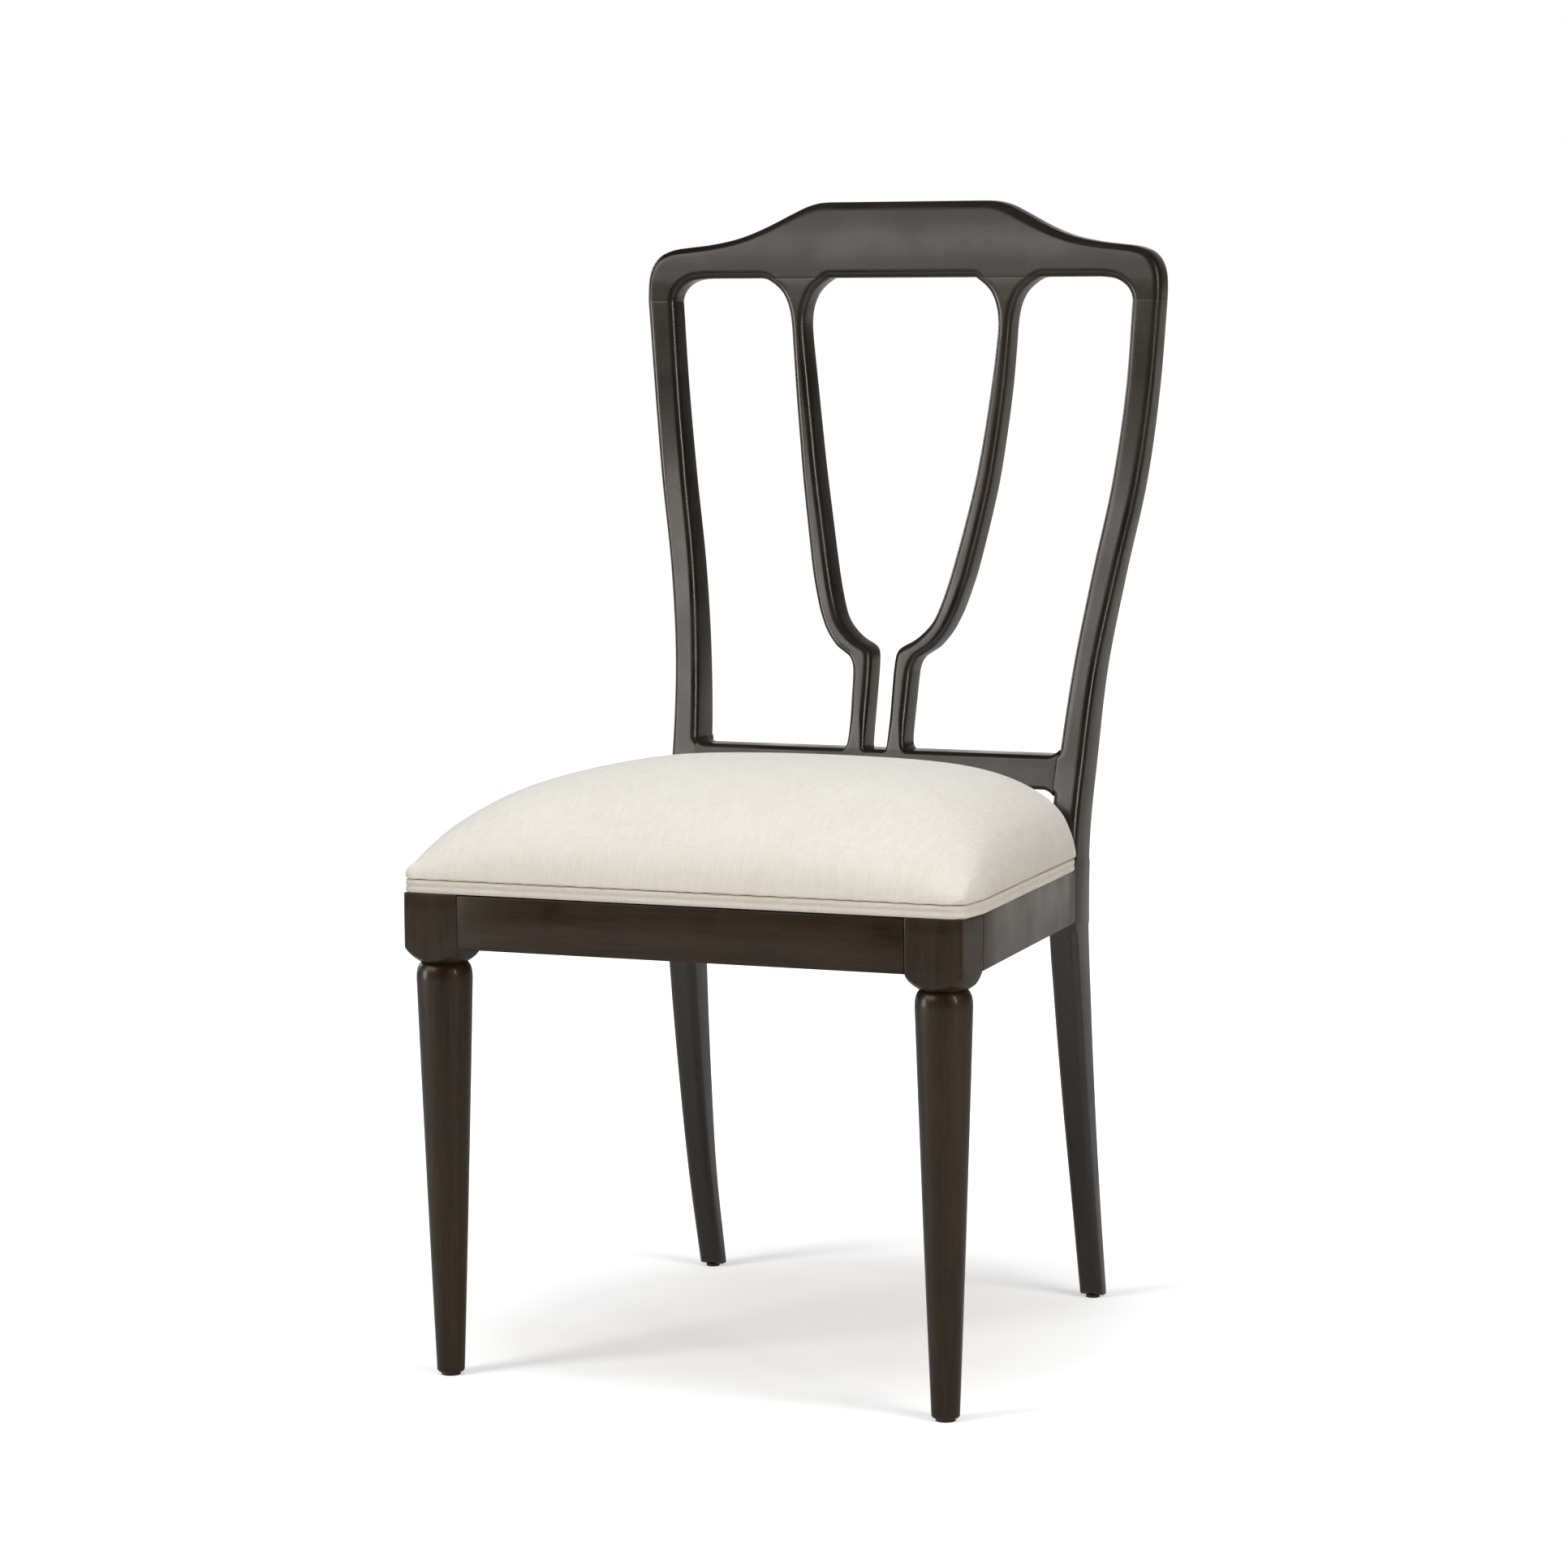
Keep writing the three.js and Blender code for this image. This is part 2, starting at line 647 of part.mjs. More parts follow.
// The foam fills the cover: the cover's inner rings, drawn in and lowered by a clearance, over a flat base.
function makeFoam() {
  const rings = crownRingShares.map((s) =>
    crownRing(s, coverThickness, hollowBase).map((p) => {
      const k = 1 - foamClearance / Math.hypot(p.x, p.y - seatMiddle);
      return new THREE.Vector3(p.x * k, seatMiddle + (p.y - seatMiddle) * k, p.z - foamDrop);
    }),
  );
  rings.push(rings.at(-1).map((p) => new THREE.Vector3(p.x, p.y, boardThickness + 2 * jointGap)));
  return loft(rings);
}

// A double cord along a path in the plan; its section stands upright beside the path.
function makeWelt(path) {
  const radius = weltHeight / 4;
  const section = [];
  const sides = 5;
  for (const centre of [3 * radius, radius]) {
    const start = centre > 2 * radius ? -0.25 : 0.75;
    for (let i = 0; i <= sides; i += 1) {
      const angle = Math.PI * (start + (1.5 * i) / sides);
      section.push([weltWidthShare * radius * Math.cos(angle), centre + radius * Math.sin(angle)]);
    }
  }
  return loft(
    path.map(([x, y], i) => {
      const [before, after] = [path[Math.max(i - 1, 0)], path[Math.min(i + 1, path.length - 1)]];
      const along = new THREE.Vector2(after[0] - before[0], after[1] - before[1]).normalize();
      return section.map(([a, z]) => new THREE.Vector3(x + along.y * a, y - along.x * a, z + jointGap / 2));
    }),
  );
}

// The front welt runs from post to post round the front; the back one lies between the posts.
function frontWeltPath() {
  const right = seatSide(weltHeight / 4 + jointGap);
  return [...right.slice(1).map(([x, y]) => [-x, y]).reverse(), ...right];
}

function rearWeltPath() {
  const inset = weltHeight / 4 + jointGap;
  const x = postInner - postClearance;
  const y = seatBack - inset;
  return [[x, y], [0, y], [-x, y]];
}

const makeBoard = () =>
  prism(seatOutline(boardInset), () => jointGap, () => boardThickness);

// The dust cover hangs under the board, inside the rails, with its corners cut off clear of the seat screws.
function makeDustCover() {
  const [front, back] = [frameFront + railThickness + dustInset, rearRailFront - dustInset];
  const side = (y) => railInner(y) - dustInset;
  const right = [
    [side(front) - dustCorner, front],
    [side(front + dustCorner), front + dustCorner],
    [side(back - dustCorner), back - dustCorner],
    [side(back) - dustCorner, back],
  ];
  const plan = [...right, ...right.map(([x, y]) => [-x, y]).reverse()];
  return prism(plan, () => -clothThickness, () => 0);
}

// Fasteners

function dowelShape(radius, length) {
  return new THREE.CylinderGeometry(radius, radius, length, dowelSides);
}

// A countersunk screw along +Y, its head's face at the origin; grown by an allowance it is its own hole.
function screwShape(allowance, headRun) {
  const [shank, head] = [screwRadius + allowance, screwHeadRadius + allowance];
  const profile = [
    [0, -headRun],
    [head, -headRun],
    [head, screwHeadHeight * screwFlatShare + allowance],
    [shank, screwHeadHeight + allowance],
    [shank, screwLength - screwPoint + allowance],
    [0, screwLength + allowance],
  ];
  return new THREE.LatheGeometry(profile.map(([r, y]) => new THREE.Vector2(r, y)), screwSides);
}

// Moves a shape that lies along +Y to a place and a direction; side -1 mirrors both.
function placed(shape, at, direction, side) {
  const aim = new THREE.Vector3(direction[0] * side, direction[1], direction[2]).normalize();
  const turn = new THREE.Quaternion().setFromUnitVectors(new THREE.Vector3(0, 1, 0), aim);
  const move = new THREE.Vector3(at[0] * side, at[1], at[2]);
  return shape.clone().applyQuaternion(turn).translate(move.x, move.y, move.z);
}

const pieces = {
  post: makePost(),
  leg: makeFrontLeg(),
  crest: makeCrest(),
  stay: makeStay(),
  slat: makeSlat(),
  frontRail: makeFrontRail(),
  rearRail: makeRearRail(),
  sideRail: makeSideRail(),
  frontBlock: makeCornerBlock(true),
  rearBlock: makeCornerBlock(false),
};
pieces.post = pieces.post.subtract(stayTenon(jointGap));

// The seat lies on the sloping tops of the rails.
const seatTilt = new THREE.Matrix4()
  .makeTranslation(0, frameFront, railTop)
  .multiply(new THREE.Matrix4().makeRotationX(-Math.atan(seatFall)))
  .multiply(new THREE.Matrix4().makeTranslation(0, -frameFront, 0));
const onRails = (made) => toManifold(toGeometry(made).applyMatrix4(seatTilt));
const seat = {
  seat_board: onRails(makeBoard()),
  seat_foam: onRails(makeFoam()),
  seat_cover: onRails(makeCover()),
  seat_welt_front: onRails(makeWelt(frontWeltPath())),
  seat_welt_back: onRails(makeWelt(rearWeltPath())),
  dust_cover: onRails(makeDustCover()),
};

// Materials
const finish = (color, roughness, metalness = 0) => new THREE.MeshStandardMaterial({ color, roughness, metalness });
const looks = {
  wood: () => finish(0x3a302b, 0.42),
  hidden: () => finish(0xb08a5c, 0.75),
  dowel: () => finish(0xc9a878, 0.7),
  linen: () => finish(0xded7cc, 0.92),
  foam: () => finish(0xe8dcae, 0.95),
  cloth: () => finish(0x1c1c1e, 0.95),
  steel: () => finish(0x9a9a98, 0.35, 0.9),
  glide: () => finish(0x222222, 0.6),
};

const chair = new THREE.Group();

function addPiece(name, made, look, side = 1) {
  const mesh = new THREE.Mesh(toGeometry(made), looks[look]());
  mesh.name = name;
  mesh.scale.x = side;
  chair.add(mesh);
}

// Sets a pin of one shape on both sides of the chair and cuts its hole in the pieces that it joins.
function fasten(name, look, shape, hole, at, direction, paired, central) {
  for (const key of paired) {
    pieces[key] = pieces[key].subtract(toManifold(placed(hole, at, direction, 1)));
  }
  for (const [side, hand] of [[1, "right"], [-1, "left"]]) {
    for (const key of central) {
      const owner = key in seat ? seat : pieces;
      owner[key] = owner[key].subtract(toManifold(placed(hole, at, direction, side)));
    }
    addPiece(`${name}_${hand}`, toManifold(placed(shape, at, direction, side)), look);
  }
}

// Dowels
function fitDowel(name, at, direction, paired, central, radius = dowelRadius, length = dowelLength) {
  const hole = dowelShape(radius + jointGap, length + 2 * jointGap);
  fasten(name, "dowel", dowelShape(radius, length), hole, at, direction, paired, central);
}

const railMiddle = (x, y) => (railPlane(x, y) + underRail(x, y)) / 2;
const dowelOffset = railHeight / 4;
const frontRailMiddle = frameFront + railThickness / 2;
const sideRailMiddle = (y) => railOuter(y) - railWidthAcross / 2;
const legBackFace = blockDepth / 2;
const postFace = postFrontLimit();
const rearRailMiddle = rearRailFront + railThickness / 2;
const crestDowelX = (postOuterAt(postTop) + postInnerAt(postTop)) / 2;
const slatHeadX = slatSpread * slatHeadDowelShare;
const slatFootX = slatSpread * slatFootDowelShare;

for (const [level, rise] of [["upper", dowelOffset], ["lower", -dowelOffset]]) {
  const frontZ = railTop - railHeight / 2 + rise;
  fitDowel(`dowel_front_${level}`, [blockInner, frontRailMiddle, frontZ], [1, 0, 0], ["leg"], ["frontRail"]);
  const sideZ = railMiddle(0, legBackFace) + rise;
  fitDowel(
    `dowel_side_front_${level}`,
    [sideRailMiddle(legBackFace), legBackFace, sideZ],
    [0, 1, 0],
    ["leg", "sideRail"],
    [],
  );
  const backZ = railMiddle(0, postFace) + rise;
  fitDowel(`dowel_side_back_${level}`, [sideRailMiddle(postFace), postFace, backZ], [0, 1, 0], ["post", "sideRail"], []);
  const rearZ = railMiddle(0, rearRailMiddle) + rise;
  fitDowel(`dowel_rear_${level}`, [postInner, rearRailMiddle, rearZ], [1, 0, 0], ["post"], ["rearRail"]);
}
const crestDowelY = backFront(crestDowelX, postTop) + backDepthAt(postTop) / 2;
fitDowel("dowel_crest", [crestDowelX, crestDowelY, postTop], [0, 0, 1], ["post"], ["crest"]);
const slatJoints = [
  ["dowel_slat_head", slatHeadX, crestUnderside, "crest"],
  ["dowel_slat_foot", slatFootX, stayTop, "stay"],
];
for (const [name, x, z, host] of slatJoints) {
  const y = backFront(x, z) + Math.min(slatDepth, backDepthAt(z)) / 2;
  fitDowel(name, [x, y, z], [0, 0, 1], ["slat"], [host], slatDowelRadius, slatDowelLength);
}

// Screws through the corner blocks into the rails, and up into the seat board
const screw = screwShape(0, 0);
const screwHole = screwShape(jointGap, cornerBlockReach);
const blockMiddle = (x, y) => railPlane(x, y) - cornerBlockDrop - cornerBlockHeight / 2;

function fitScrews(end, block, railY, towards, sideY, seatAt, rail) {
  const acrossX = (end === "front" ? blockInner : postInner) - cornerBlockReach * railScrewShare;
  const railHead = [acrossX, railY - towards * screwLength * screwBlockShare, blockMiddle(0, railY)];
  fasten(`screw_${end}_rail`, "steel", screw, screwHole, railHead, [0, towards, 0], [block], [rail]);
  const sideHead = [railInner(sideY) - screwLength * screwBlockShare, sideY, blockMiddle(0, sideY)];
  fasten(`screw_${end}_side`, "steel", screw, screwHole, sideHead, [1, 0, 0], [block, "sideRail"], []);
  const seatHead = [...seatAt, railPlane(0, seatAt[1]) + boardThickness - overrun - screwLength];
  fasten(`screw_${end}_seat`, "steel", screw, screwHole, seatHead, [0, 0, 1], [block], ["seat_board"]);
}

const frontRailBack = frameFront + railThickness;
const frontSeatScrew = [blockInner - overrun, legBackFace + cornerBlockReach * seatScrewShares.front];
const rearSeatInset = cornerBlockReach * seatScrewShares.rear;
const rearSeatScrew = [postInner - rearSeatInset, postFace - rearSeatInset];
const frontSideY = legBackFace + cornerBlockReach * sideScrewShares.front;
const rearSideY = postFace - cornerBlockReach * sideScrewShares.rear;
fitScrews("front", "frontBlock", frontRailBack, -1, frontSideY, frontSeatScrew, "frontRail");
fitScrews("rear", "rearBlock", rearRailFront, 1, rearSideY, rearSeatScrew, "rearRail");

// Glides under the feet
function addGlides() {
  const disc = new THREE.CylinderGeometry(1, 1, glideHeight, glideSides).rotateX(Math.PI / 2);
  const footZ = glideHeight + footRound;
  const rearX = (postInnerAt(footZ) + postOuterAt(footZ)) / 2;
  const rearY = backFront(rearX, glideHeight) + backDepthAt(glideHeight) / 2;
  const places = [
    ["front", legX, 0, frontGlideRadius],
    ["rear", rearX, rearY, rearGlideRadius],
  ];
  for (const [end, x, y, radius] of places) {
    for (const [side, hand] of [[1, "right"], [-1, "left"]]) {
      const glide = disc.clone().scale(radius, radius, 1).translate(side * x, y, glideHeight / 2);
      addPiece(`glide_${end}_${hand}`, toManifold(glide), "glide");
    }
  }
}
addGlides();

for (const [side, hand] of [[1, "right"], [-1, "left"]]) {
  addPiece(`front_leg_${hand}`, pieces.leg, "wood", side);
  addPiece(`back_post_${hand}`, pieces.post, "wood", side);
  addPiece(`back_slat_${hand}`, pieces.slat, "wood", side);
  addPiece(`seat_rail_${hand}`, pieces.sideRail, "wood", side);
  addPiece(`corner_block_front_${hand}`, pieces.frontBlock, "hidden", side);
  addPiece(`corner_block_rear_${hand}`, pieces.rearBlock, "hidden", side);
}
addPiece("crest_rail", pieces.crest, "wood");
addPiece("stay_rail", pieces.stay, "wood");
addPiece("seat_rail_front", pieces.frontRail, "wood");
addPiece("seat_rail_rear", pieces.rearRail, "wood");
const seatLooks = { seat_board: "hidden", seat_foam: "foam", dust_cover: "cloth" };
for (const [name, made] of Object.entries(seat)) addPiece(name, made, seatLooks[name] ?? "linen");

// The origin goes to the middle of the floor area.
const box = new THREE.Box3().setFromObject(chair);
const middle = box.getCenter(new THREE.Vector3());
chair.position.set(-middle.x, -middle.y, -box.min.z);
const part = new THREE.Group();
part.add(chair);

export default part;
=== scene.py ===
"""Dining chair with turned front legs, a lyre-slatted back and a double-welted linen seat."""

import json
import logging
import math
from dataclasses import dataclass, field, replace
from enum import Enum, IntEnum
from functools import partial
from typing import Callable, Sequence

import bmesh
import bpy
import numpy as np
from mathutils import Matrix, Vector
from mathutils.geometry import delaunay_2d_cdt

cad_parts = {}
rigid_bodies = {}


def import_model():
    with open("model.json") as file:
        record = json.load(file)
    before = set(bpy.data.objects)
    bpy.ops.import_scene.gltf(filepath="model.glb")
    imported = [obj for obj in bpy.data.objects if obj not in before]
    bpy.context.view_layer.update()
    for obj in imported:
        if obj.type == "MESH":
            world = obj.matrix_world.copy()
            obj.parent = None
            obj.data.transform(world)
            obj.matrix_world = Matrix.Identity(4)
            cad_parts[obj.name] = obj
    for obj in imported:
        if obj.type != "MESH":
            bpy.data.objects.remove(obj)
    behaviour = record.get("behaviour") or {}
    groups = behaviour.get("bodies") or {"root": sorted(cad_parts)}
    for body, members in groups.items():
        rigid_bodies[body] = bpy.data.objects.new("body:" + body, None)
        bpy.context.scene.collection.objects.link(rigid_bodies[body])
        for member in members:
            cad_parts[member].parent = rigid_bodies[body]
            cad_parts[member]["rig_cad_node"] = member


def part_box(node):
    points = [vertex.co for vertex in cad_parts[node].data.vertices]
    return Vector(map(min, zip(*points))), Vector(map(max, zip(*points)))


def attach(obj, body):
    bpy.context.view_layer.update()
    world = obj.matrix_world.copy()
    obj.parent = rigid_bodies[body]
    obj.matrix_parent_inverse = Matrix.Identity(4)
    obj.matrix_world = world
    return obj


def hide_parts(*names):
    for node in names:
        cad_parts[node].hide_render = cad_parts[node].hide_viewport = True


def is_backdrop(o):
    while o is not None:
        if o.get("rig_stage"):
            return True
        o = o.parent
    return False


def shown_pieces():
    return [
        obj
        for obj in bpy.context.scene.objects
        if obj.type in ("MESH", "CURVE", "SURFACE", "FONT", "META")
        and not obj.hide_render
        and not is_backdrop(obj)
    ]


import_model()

log = logging.getLogger("chair")

Array = np.ndarray
Object = bpy.types.Object
Material = bpy.types.Material
Socket = bpy.types.NodeSocket
Triple = tuple[float, float, float]
Line = tuple[tuple[float, float], ...]
Faces = list[list[int]]
Profile = Callable[[Array], Array]
Insets = list[tuple[float, Array]]

MM = 0.001
WELD = 2e-6
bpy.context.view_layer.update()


class Hand(Enum):
    """The two hands of a paired piece, as the sign of their side."""

    RIGHT = 1
    LEFT = -1

    @property
    def word(self) -> str:
        """The hand as it ends a piece's name."""
        return self.name.lower()


class Grain(Enum):
    """The way the wood's grain runs, with the stretch of its figure along X, Y and Z."""

    ACROSS = (0.07, 1.0, 1.0)
    DEEP = (1.0, 0.07, 1.0)
    UPRIGHT = (1.0, 1.0, 0.07)


class Slot(Enum):
    """The record's material slots, passed along with new pieces."""

    DARK_WOOD = "dark_wood"
    LINEN = "linen"
    DUST_CLOTH = "dust_cloth"


# ---------------------------------------------------------------------------
# Lines of the chair


def follow(table: Sequence[Sequence[float]], place: Array, column: int = 1) -> Array:
    """Smooth curve through the rows of a table.

    Args:
        table: rows whose column 0 rises.
        place: where along column 0 the curve is read.
        column: which column is read.

    Returns:
        The column's value at each place.
    """
    rows = np.asarray(table, float)
    place = np.asarray(place, float)
    at, value = rows[:, 0], rows[:, column]
    before = np.maximum(np.arange(len(at)) - 1, 0)
    after = np.minimum(np.arange(len(at)) + 1, len(at) - 1)
    slope = (value[after] - value[before]) / (at[after] - at[before])
    i = np.clip(np.searchsorted(at, place, side="left") - 1, 0, len(at) - 2)
    run = at[i + 1] - at[i]
    t = np.clip((place - at[i]) / run, 0, 1)
    ease, bend = t * t * (3 - 2 * t), t * (1 - t)
    start = slope[i] * run * bend * (1 - t)
    end = slope[i + 1] * run * bend * t
    return value[i] + (value[i + 1] - value[i]) * ease + start - end


def bell(distance: Array, power: float, root: float) -> Array:
    """Share that falls from 1 at no distance to 0 at a distance of 1."""
    return np.maximum(0, 1 - np.clip(distance, 0, 1) ** power) ** root


def blend(low: float, high: float, place: Array) -> Array:
    """Smooth step from 0 at low to 1 at high."""
    t = np.clip((np.asarray(place, float) - low) / (high - low), 0, 1)
    return t * t * (3 - 2 * t)


# A post up its height: height, then the columns that PostShare names
POST_SHARES = (
    (0, 1, 0, -0.01, 0.815, 0.425),
    (0.1, 0.676, 0, 0.015, 0.865, 0.5),
    (0.203, 0.396, 0, 0.015, 0.925, 0.64),
    (0.306, 0.16, 0, 0.01, 0.975, 0.8),
    (0.397, 0, 0, 0, 1, 0.95),
    (0.477, 0, 0.03, 0, 0.98, 1.02),
    (0.545, 0, 0.244, 0.01, 0.94, 1),
    (0.637, 0, 0.471, 0.11, 0.885, 0.9),
    (0.728, 0, 0.696, 0.356, 0.935, 0.785),
    (0.82, 0, 0.872, 0.665, 0.98, 0.72),
    (0.911, 0, 0.968, 0.867, 0.98, 0.675),
    (1, 0, 1, 1, 1.02, 0.64),
)
# The crest's lean: height over the posts, then how much of the lean is reached
LEAN_SHARES = ((0, 0), (0.25, 0.1), (0.6, 0.345), (1, 1))


class PostShare(IntEnum):
    """Columns of POST_SHARES, each a share of one of the chair's measures."""

    SWEEP = 1
    RAKE = 2
    FLARE = 3
    WIDTH = 4
    DEPTH = 5


def middle_of(node: str) -> Vector:
    """Middle of a CAD node's box, in metres."""
    low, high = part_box(node)
    return (Vector(low) + Vector(high)) / 2


@dataclass(frozen=True)
class ChairLines:
    """Main lines of the chair, in millimetres from the front legs' axes, the middle and the floor."""

    post_top: float = 878.0
    glide_height: float = 2.5
    leg_to_post: float = 383.0
    leg_sweep: float = 69.5
    back_rake: float = 84.0
    back_flare: float = 48.0
    post_outer: float = 194.5
    post_width: float = 26.0
    post_depth: float = 40.0
    crest_rise: float = 87.0
    crest_lean: float = 14.5
    crest_bow: float = 6.0
    crest_end: float = 242.8
    window_top: float = 898.0
    stay_top: float = 486.5
    rail_top: float = 404.5
    rail_height: float = 45.0
    rail_thickness: float = 22.0
    block_outer: float = 243.5
    block_inner: float = 194.5
    frame_front: float = -24.0
    leg_back: float = 24.0
    rear_rail_front: float = 398.0
    seat_slope: float = math.radians(2)
    axis_back: float = field(default_factory=lambda: middle_of("glide_front_right").y / MM)

    @property
    def seat_fall(self) -> float:
        """How fast the rails' tops fall, per millimetre of depth."""
        return math.tan(self.seat_slope)

    @property
    def side_taper(self) -> float:
        """How fast a side rail comes in, per millimetre of depth."""
        return (self.block_outer - self.post_outer) / (self.leg_to_post - self.leg_back)

    def share(self, z: Array, column: PostShare) -> Array:
        """A post's share at a height, in one column of POST_SHARES."""
        up = (np.asarray(z, float) - self.glide_height) / (self.post_top - self.glide_height)
        return follow(POST_SHARES, up, column)

    def back_front(self, x: Array, z: Array) -> Array:
        """Depth of the back's front surface.

        Args:
            x: places across the chair.
            z: heights.

        Returns:
            How far behind the front legs' axes the surface lies.
        """
        leg = self.leg_sweep * self.share(z, PostShare.SWEEP)
        back = self.back_rake * self.share(z, PostShare.RAKE)
        lean = self.crest_lean * follow(LEAN_SHARES, np.maximum(0, (z - self.post_top) / self.crest_rise))
        rise = np.clip((z - self.stay_top) / (self.window_top - self.stay_top), 0, 1)
        bow = self.crest_bow * rise * np.maximum(0, 1 - (x / self.crest_end) ** 2)
        return self.leg_to_post + leg + back + lean + bow

    def post_out(self, z: Array) -> Array:
        """Outer face of a post."""
        return self.post_outer + self.back_flare * self.share(z, PostShare.FLARE)

    def post_in(self, z: Array) -> Array:
        """Inner face of a post."""
        return self.post_out(z) - self.post_width * self.share(z, PostShare.WIDTH)

    def depth(self, z: Array) -> Array:
        """Thickness of a post, and of the crest over it, from front to back."""
        return self.post_depth * self.share(z, PostShare.DEPTH)

    def rail_plane(self, y: Array) -> Array:
        """Height of the rails' tops, which fall to the back."""
        return self.rail_top - self.seat_fall * (np.asarray(y, float) - self.frame_front)

    def rail_out(self, y: Array) -> Array:
        """Outer face of a side rail."""
        return self.block_outer - self.side_taper * (np.asarray(y, float) - self.leg_back)

    def rail_in(self, y: Array) -> Array:
        """Inner face of a side rail."""
        return self.rail_out(y) - self.rail_thickness * math.hypot(1, self.side_taper)


LINES = ChairLines()


def to_frame(points: Array) -> Array:
    """Turns millimetres from the front legs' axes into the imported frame's metres.

    Args:
        points: the points.

    Returns:
        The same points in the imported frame.
    """
    moved = np.array(points, float)
    moved[:, 1] += LINES.axis_back
    return moved * MM


# ---------------------------------------------------------------------------
# Mesh making


def add_object(name: str, data: bpy.types.ID) -> Object:
    """Puts a new object in the scene.

    Args:
        name: its name.
        data: its mesh, lamp or camera.

    Returns:
        The object.
    """
    made = bpy.data.objects.new(name, data)
    bpy.context.scene.collection.objects.link(made)
    return made


def make_piece(name: str, points: Array, faces: Sequence[Sequence[int]], sharp: float = 50) -> Object:
    """Makes a closed, smooth-shaded piece.

    Args:
        name: the piece's name.
        points: its corners in millimetres.
        faces: corner numbers of each face.
        sharp: angle in degrees past which an edge stays crisp.

    Returns:
        The new object, in the scene.
    """
    mesh = bpy.data.meshes.new(name)
    mesh.from_pydata(to_frame(points).tolist(), [], [list(f) for f in faces])
    work = bmesh.new()
    work.from_mesh(mesh)
    bmesh.ops.remove_doubles(work, verts=work.verts, dist=WELD)
    bmesh.ops.recalc_face_normals(work, faces=work.faces)
    work.to_mesh(mesh)
    work.free()
    mesh.shade_smooth()
    mesh.set_sharp_from_angle(angle=math.radians(sharp))
    return add_object(name, mesh)


def read_vectors(mesh: bpy.types.Mesh, what: str = "co") -> Array:
    """One vector for each corner of a mesh.

    Args:
        mesh: the mesh.
        what: which of the corners' vectors, such as co or normal.

    Returns:
        The vectors, one to a row.
    """
    values = np.empty(len(mesh.vertices) * 3)
    mesh.vertices.foreach_get(what, values)
    return values.reshape(-1, 3)


def move_corners(mesh: bpy.types.Mesh, points: Array) -> None:
    """Puts a mesh's corners in new places."""
    mesh.vertices.foreach_set("co", points.ravel())
    mesh.update()


def fit(piece: Object, slot: Slot, look: Material, *nodes: str) -> Object:
    """Dresses a piece and sets it in the chair.

    Args:
        piece: the new piece.
        slot: the record's slot that its finish belongs to; not used.
        look: its material.
        nodes: the CAD nodes that it stands for.

    Returns:
        The same piece.
    """
    piece.data.materials.clear()
    piece.data.materials.append(look)
    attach(piece, "root")
    if nodes:
        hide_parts(*nodes)
    log.info("%s: %d faces, for %s", piece.name, len(piece.data.polygons), ", ".join(nodes) or "detail")
    return piece


def skin_rings(rings: Sequence[Array], capped: bool = True) -> tuple[Array, Faces]:
    """Joins rings of equal length into a skin.

    Args:
        rings: closed rings of points, in order.
        capped: whether the first and the last ring are closed.

    Returns:
        The points and faces.
    """
    count = len(rings[0])
    points = np.concatenate(rings)
    faces = []
    for i in range(len(rings) - 1):
        for j in range(count):
            a, b = i * count + j, i * count + (j + 1) % count
            faces.append([a, b, b + count, a + count])
    if capped:
        faces.append(list(range(count - 1, -1, -1)))
        faces.append(list(range((len(rings) - 1) * count, len(rings) * count)))
    return points, faces


def eased_section(low: Sequence[float], high: Sequence[float], radius: float, steps: int = 4) -> Array:
    """Rectangle with rounded corners.

    Args:
        low: lowest corner.
        high: highest corner.
        radius: of its corners.
        steps: facets in each corner.

    Returns:
        Its points in order.
    """
    out = []
    for k, (u, v) in enumerate(((1, 0), (1, 1), (0, 1), (0, 0))):
        cx = high[0] - radius if u else low[0] + radius
        cy = high[1] - radius if v else low[1] + radius
        for i in range(steps + 1):
            angle = math.pi / 2 * (k - 1 + i / steps)
            out.append((cx + radius * math.cos(angle), cy + radius * math.sin(angle)))
    return np.array(out)


def run_along(points: Array) -> Array:
    """Distance along a line up to each of its points."""
    return np.concatenate([[0], np.cumsum(np.hypot(*np.diff(points, axis=0).T))])


def smooth_line(points: Sequence[Sequence[float]], spacing: float) -> Array:
    """Points at an even spacing on a smooth curve through the given ones.

    Args:
        points: what the curve passes through, in two dimensions.
        spacing: distance between the new points.

    Returns:
        The new points, both ends among them.
    """
    rows = np.asarray(points, float)
    run = run_along(rows)
    table = np.column_stack([run, rows])
    fine = np.linspace(0, run[-1], max(2, int(math.ceil(run[-1] / spacing)) + 1))
    return np.column_stack([follow(table, fine, 1), follow(table, fine, 2)])


def at_height(plan: Array, height: Array | float) -> Array:
    """Points of a plan at one height, or each at its own."""
    return np.column_stack([plan, np.broadcast_to(height, len(plan))])


def staggered_grid(low: Sequence[float], high: Sequence[float], across: float, up: float) -> Array:
    """Grid of points in two dimensions, with every other row moved by half a step.

    Args:
        low: its lowest corner.
        high: its highest corner.
        across: step along its rows.
        up: step from row to row.

    Returns:
        The points.
    """
    x, y = np.meshgrid(np.arange(low[0], high[0], across), np.arange(low[1], high[1], up))
    odd = (np.arange(len(x)) % 2)[:, None]
    return np.column_stack([(x + across / 2 * odd).ravel(), y.ravel()])


def triangulate(points: Array, rim: int) -> tuple[Array, Sequence[Sequence[int]]]:
    """Fills an outline with triangles.

    Args:
        points: the outline's points in order, then those inside it.
        rim: how many of them are the outline's.

    Returns:
        The points and faces.
    """
    flat, _, faces, *_ = delaunay_2d_cdt([Vector(p) for p in points], [], [list(range(rim))], 1, 1e-5)
    return np.array([tuple(p) for p in flat]), faces


